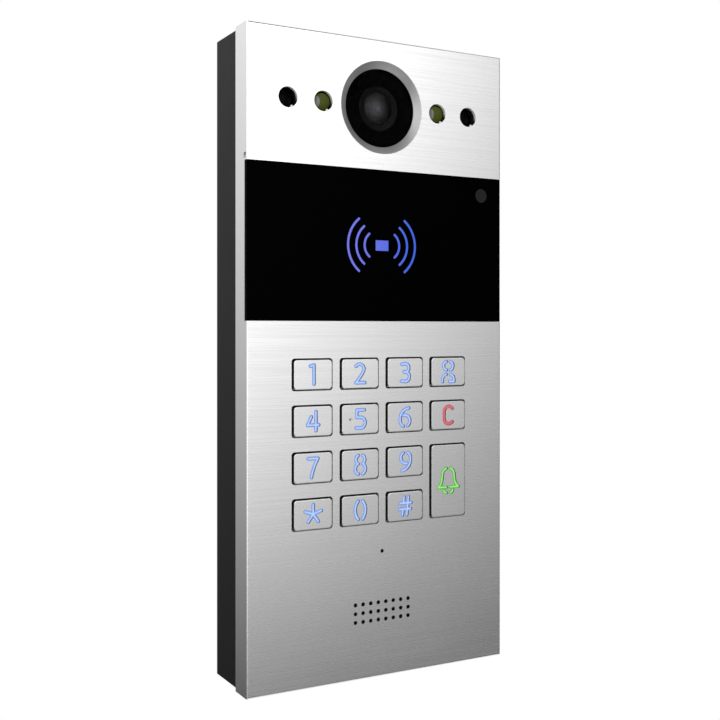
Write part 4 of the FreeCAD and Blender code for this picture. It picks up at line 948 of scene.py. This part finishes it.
class SetStage(IntercomOperator):
    """Lay the pale floor, stand the camera and light the studio"""

    bl_idname = "intercom.set_stage"
    bl_label = "Studio"

    def execute(self, context):
        look = context.scene.intercom_studio
        self.lay_floor(look)
        self.stand_camera(context, look)
        self.light(context, look)
        context.scene.view_settings.view_transform = "Standard"
        return {"FINISHED"}

    def lay_floor(self, look):
        """A flat disc with a rounded edge."""
        level, radius = look.floor_level, look.floor_radius
        round_edge = 4 * MM
        bend = np.linspace(0, math.pi / 2, 8)
        reach = radius - round_edge + round_edge * np.sin(bend)
        edge = np.stack([reach, round_edge * (np.cos(bend) - 1)], 1)
        under = -3 * round_edge
        rings = np.vstack([[(0, 0)], edge, [(radius, under), (0, under)]])
        angle = np.linspace(0, TAU, 128, endpoint=False)
        across = rings[:, :1] * np.cos(angle)
        along = rings[:, :1] * np.sin(angle)
        up = np.repeat(level + rings[:, 1:], angle.size, axis=1)
        floor = make_mesh("pale_floor", [np.stack([across, along, up], axis=-1)])
        paint = Paint("pale_floor", Roughness=0.7)
        cloud = paint.noise((0.05, 0.05, 0.05), detail=4.0)
        paint.feed("Base Color", paint.mix(cloud * 0.4, (0.9, 0.9, 0.9), (0.82, 0.82, 0.82)))
        floor.data.materials.append(paint.material)
        floor.visible_glossy = False

    def stand_camera(self, context, look):
        """A level camera, turned to the right, with a small vertical shift."""
        data = bpy.data.cameras.new("studio_camera")
        data.lens = look.lens
        data.sensor_width = 36
        data.shift_y = look.drop
        data.clip_start = 0.01
        camera = bpy.data.objects.new("studio_camera", data)
        camera.location = look.camera_place
        camera.rotation_euler = (math.pi / 2, 0, -look.camera_turn)
        context.scene.collection.objects.link(camera)
        context.scene.camera = camera

    def light(self, context, look):
        """A studio whose brightness depends on direction, and a plain white background.

        A direction is given by its parts right, ahead and up, each from -1 to 1. A wide softbox
        stands in front of the panel: it grows from the ground up and from right to left. A light
        overhead, a strip at the far left, a flank at the far right and a bounce from the ground
        add to it, and behind the panel the light is softer. Only reflections and shading see
        this; the camera itself sees white.
        """
        world = bpy.data.worlds.new("studio")
        world.use_nodes = True
        context.scene.world = world
        graph = Graph(world.node_tree)
        background = world.node_tree.nodes["Background"]
        right, ahead, up = graph.split(graph.add("ShaderNodeTexCoord", output="Generated"))
        height = graph.ramp(up, -0.38, 0.22, 0.0, look.softbox) * graph.fade(up, 0.8, 0.5)
        turn = graph.ramp(right, 0.27, 0.73, 1.5, 0.0) * graph.ramp(right, -0.5, 0.1, 0.4, 1.0)
        side = graph.ramp(up, -0.38, 0.36, 0.0, look.back_light)
        rear = side + (1 - side) * graph.fade(right, -0.2, 0.2)
        behind = graph.fade(ahead, 0.05, 0.35)
        overhead = graph.fade(up, 0.7, 0.9) * graph.fade(right, 0.46, 0.54)
        strip = graph.fade(right, -0.62, -0.8) * graph.fade(up, -0.32, -0.24) * look.strip
        flank = graph.fade(right, 0.85, 0.95) * look.flank
        bounce = graph.fade(up, -0.56, -0.82) * look.bounce
        front = height * turn + overhead + strip + flank + bounce
        studio = front * (1 - behind) + rear * behind + look.ambient
        seen = graph.add("ShaderNodeLightPath", output="Is Camera Ray")
        brightness = studio * (1 - seen) + seen
        graph.put(background.inputs["Color"], (1.0, 1.0, 1.0))
        graph.put(background.inputs["Strength"], brightness)


OPERATORS = (
    DressCover,
    LightSymbols,
    BuildRims,
    BuildLens,
    BuildLamps,
    DressInside,
    DressBack,
    SetStage,
)
LOOKS = {
    "intercom_metal": MetalLook,
    "intercom_glow": GlowLook,
    "intercom_lens": LensLook,
    "intercom_studio": StudioLook,
}


class IntercomSidebar(bpy.types.Panel):
    """Lists the intercom panel's operators and looks."""

    bl_idname = "INTERCOM_PT_sidebar"
    bl_label = "Intercom Panel"
    bl_space_type = "VIEW_3D"
    bl_region_type = "UI"
    bl_category = "Intercom"

    def draw(self, context):
        for operator in OPERATORS:
            self.layout.operator(operator.bl_idname)
        for name, group in LOOKS.items():
            box = self.layout.box()
            for field in group.__annotations__:
                box.prop(getattr(context.scene, name), field)


def register():
    """Registers the looks, the operators and the sidebar."""
    for group in LOOKS.values():
        bpy.utils.register_class(group)
    for operator in OPERATORS:
        bpy.utils.register_class(operator)
    bpy.utils.register_class(IntercomSidebar)
    for name, group in LOOKS.items():
        setattr(bpy.types.Scene, name, PointerProperty(type=group))


def unregister():
    """Undoes register, last first."""
    for name in LOOKS:
        delattr(bpy.types.Scene, name)
    bpy.utils.unregister_class(IntercomSidebar)
    for operator in reversed(OPERATORS):
        bpy.utils.unregister_class(operator)
    for group in reversed(LOOKS.values()):
        bpy.utils.unregister_class(group)


def main():
    register()
    for operator in OPERATORS:
        group, action = operator.bl_idname.split(".")
        getattr(getattr(bpy.ops, group), action)()


if __name__ == "__main__":
    main()
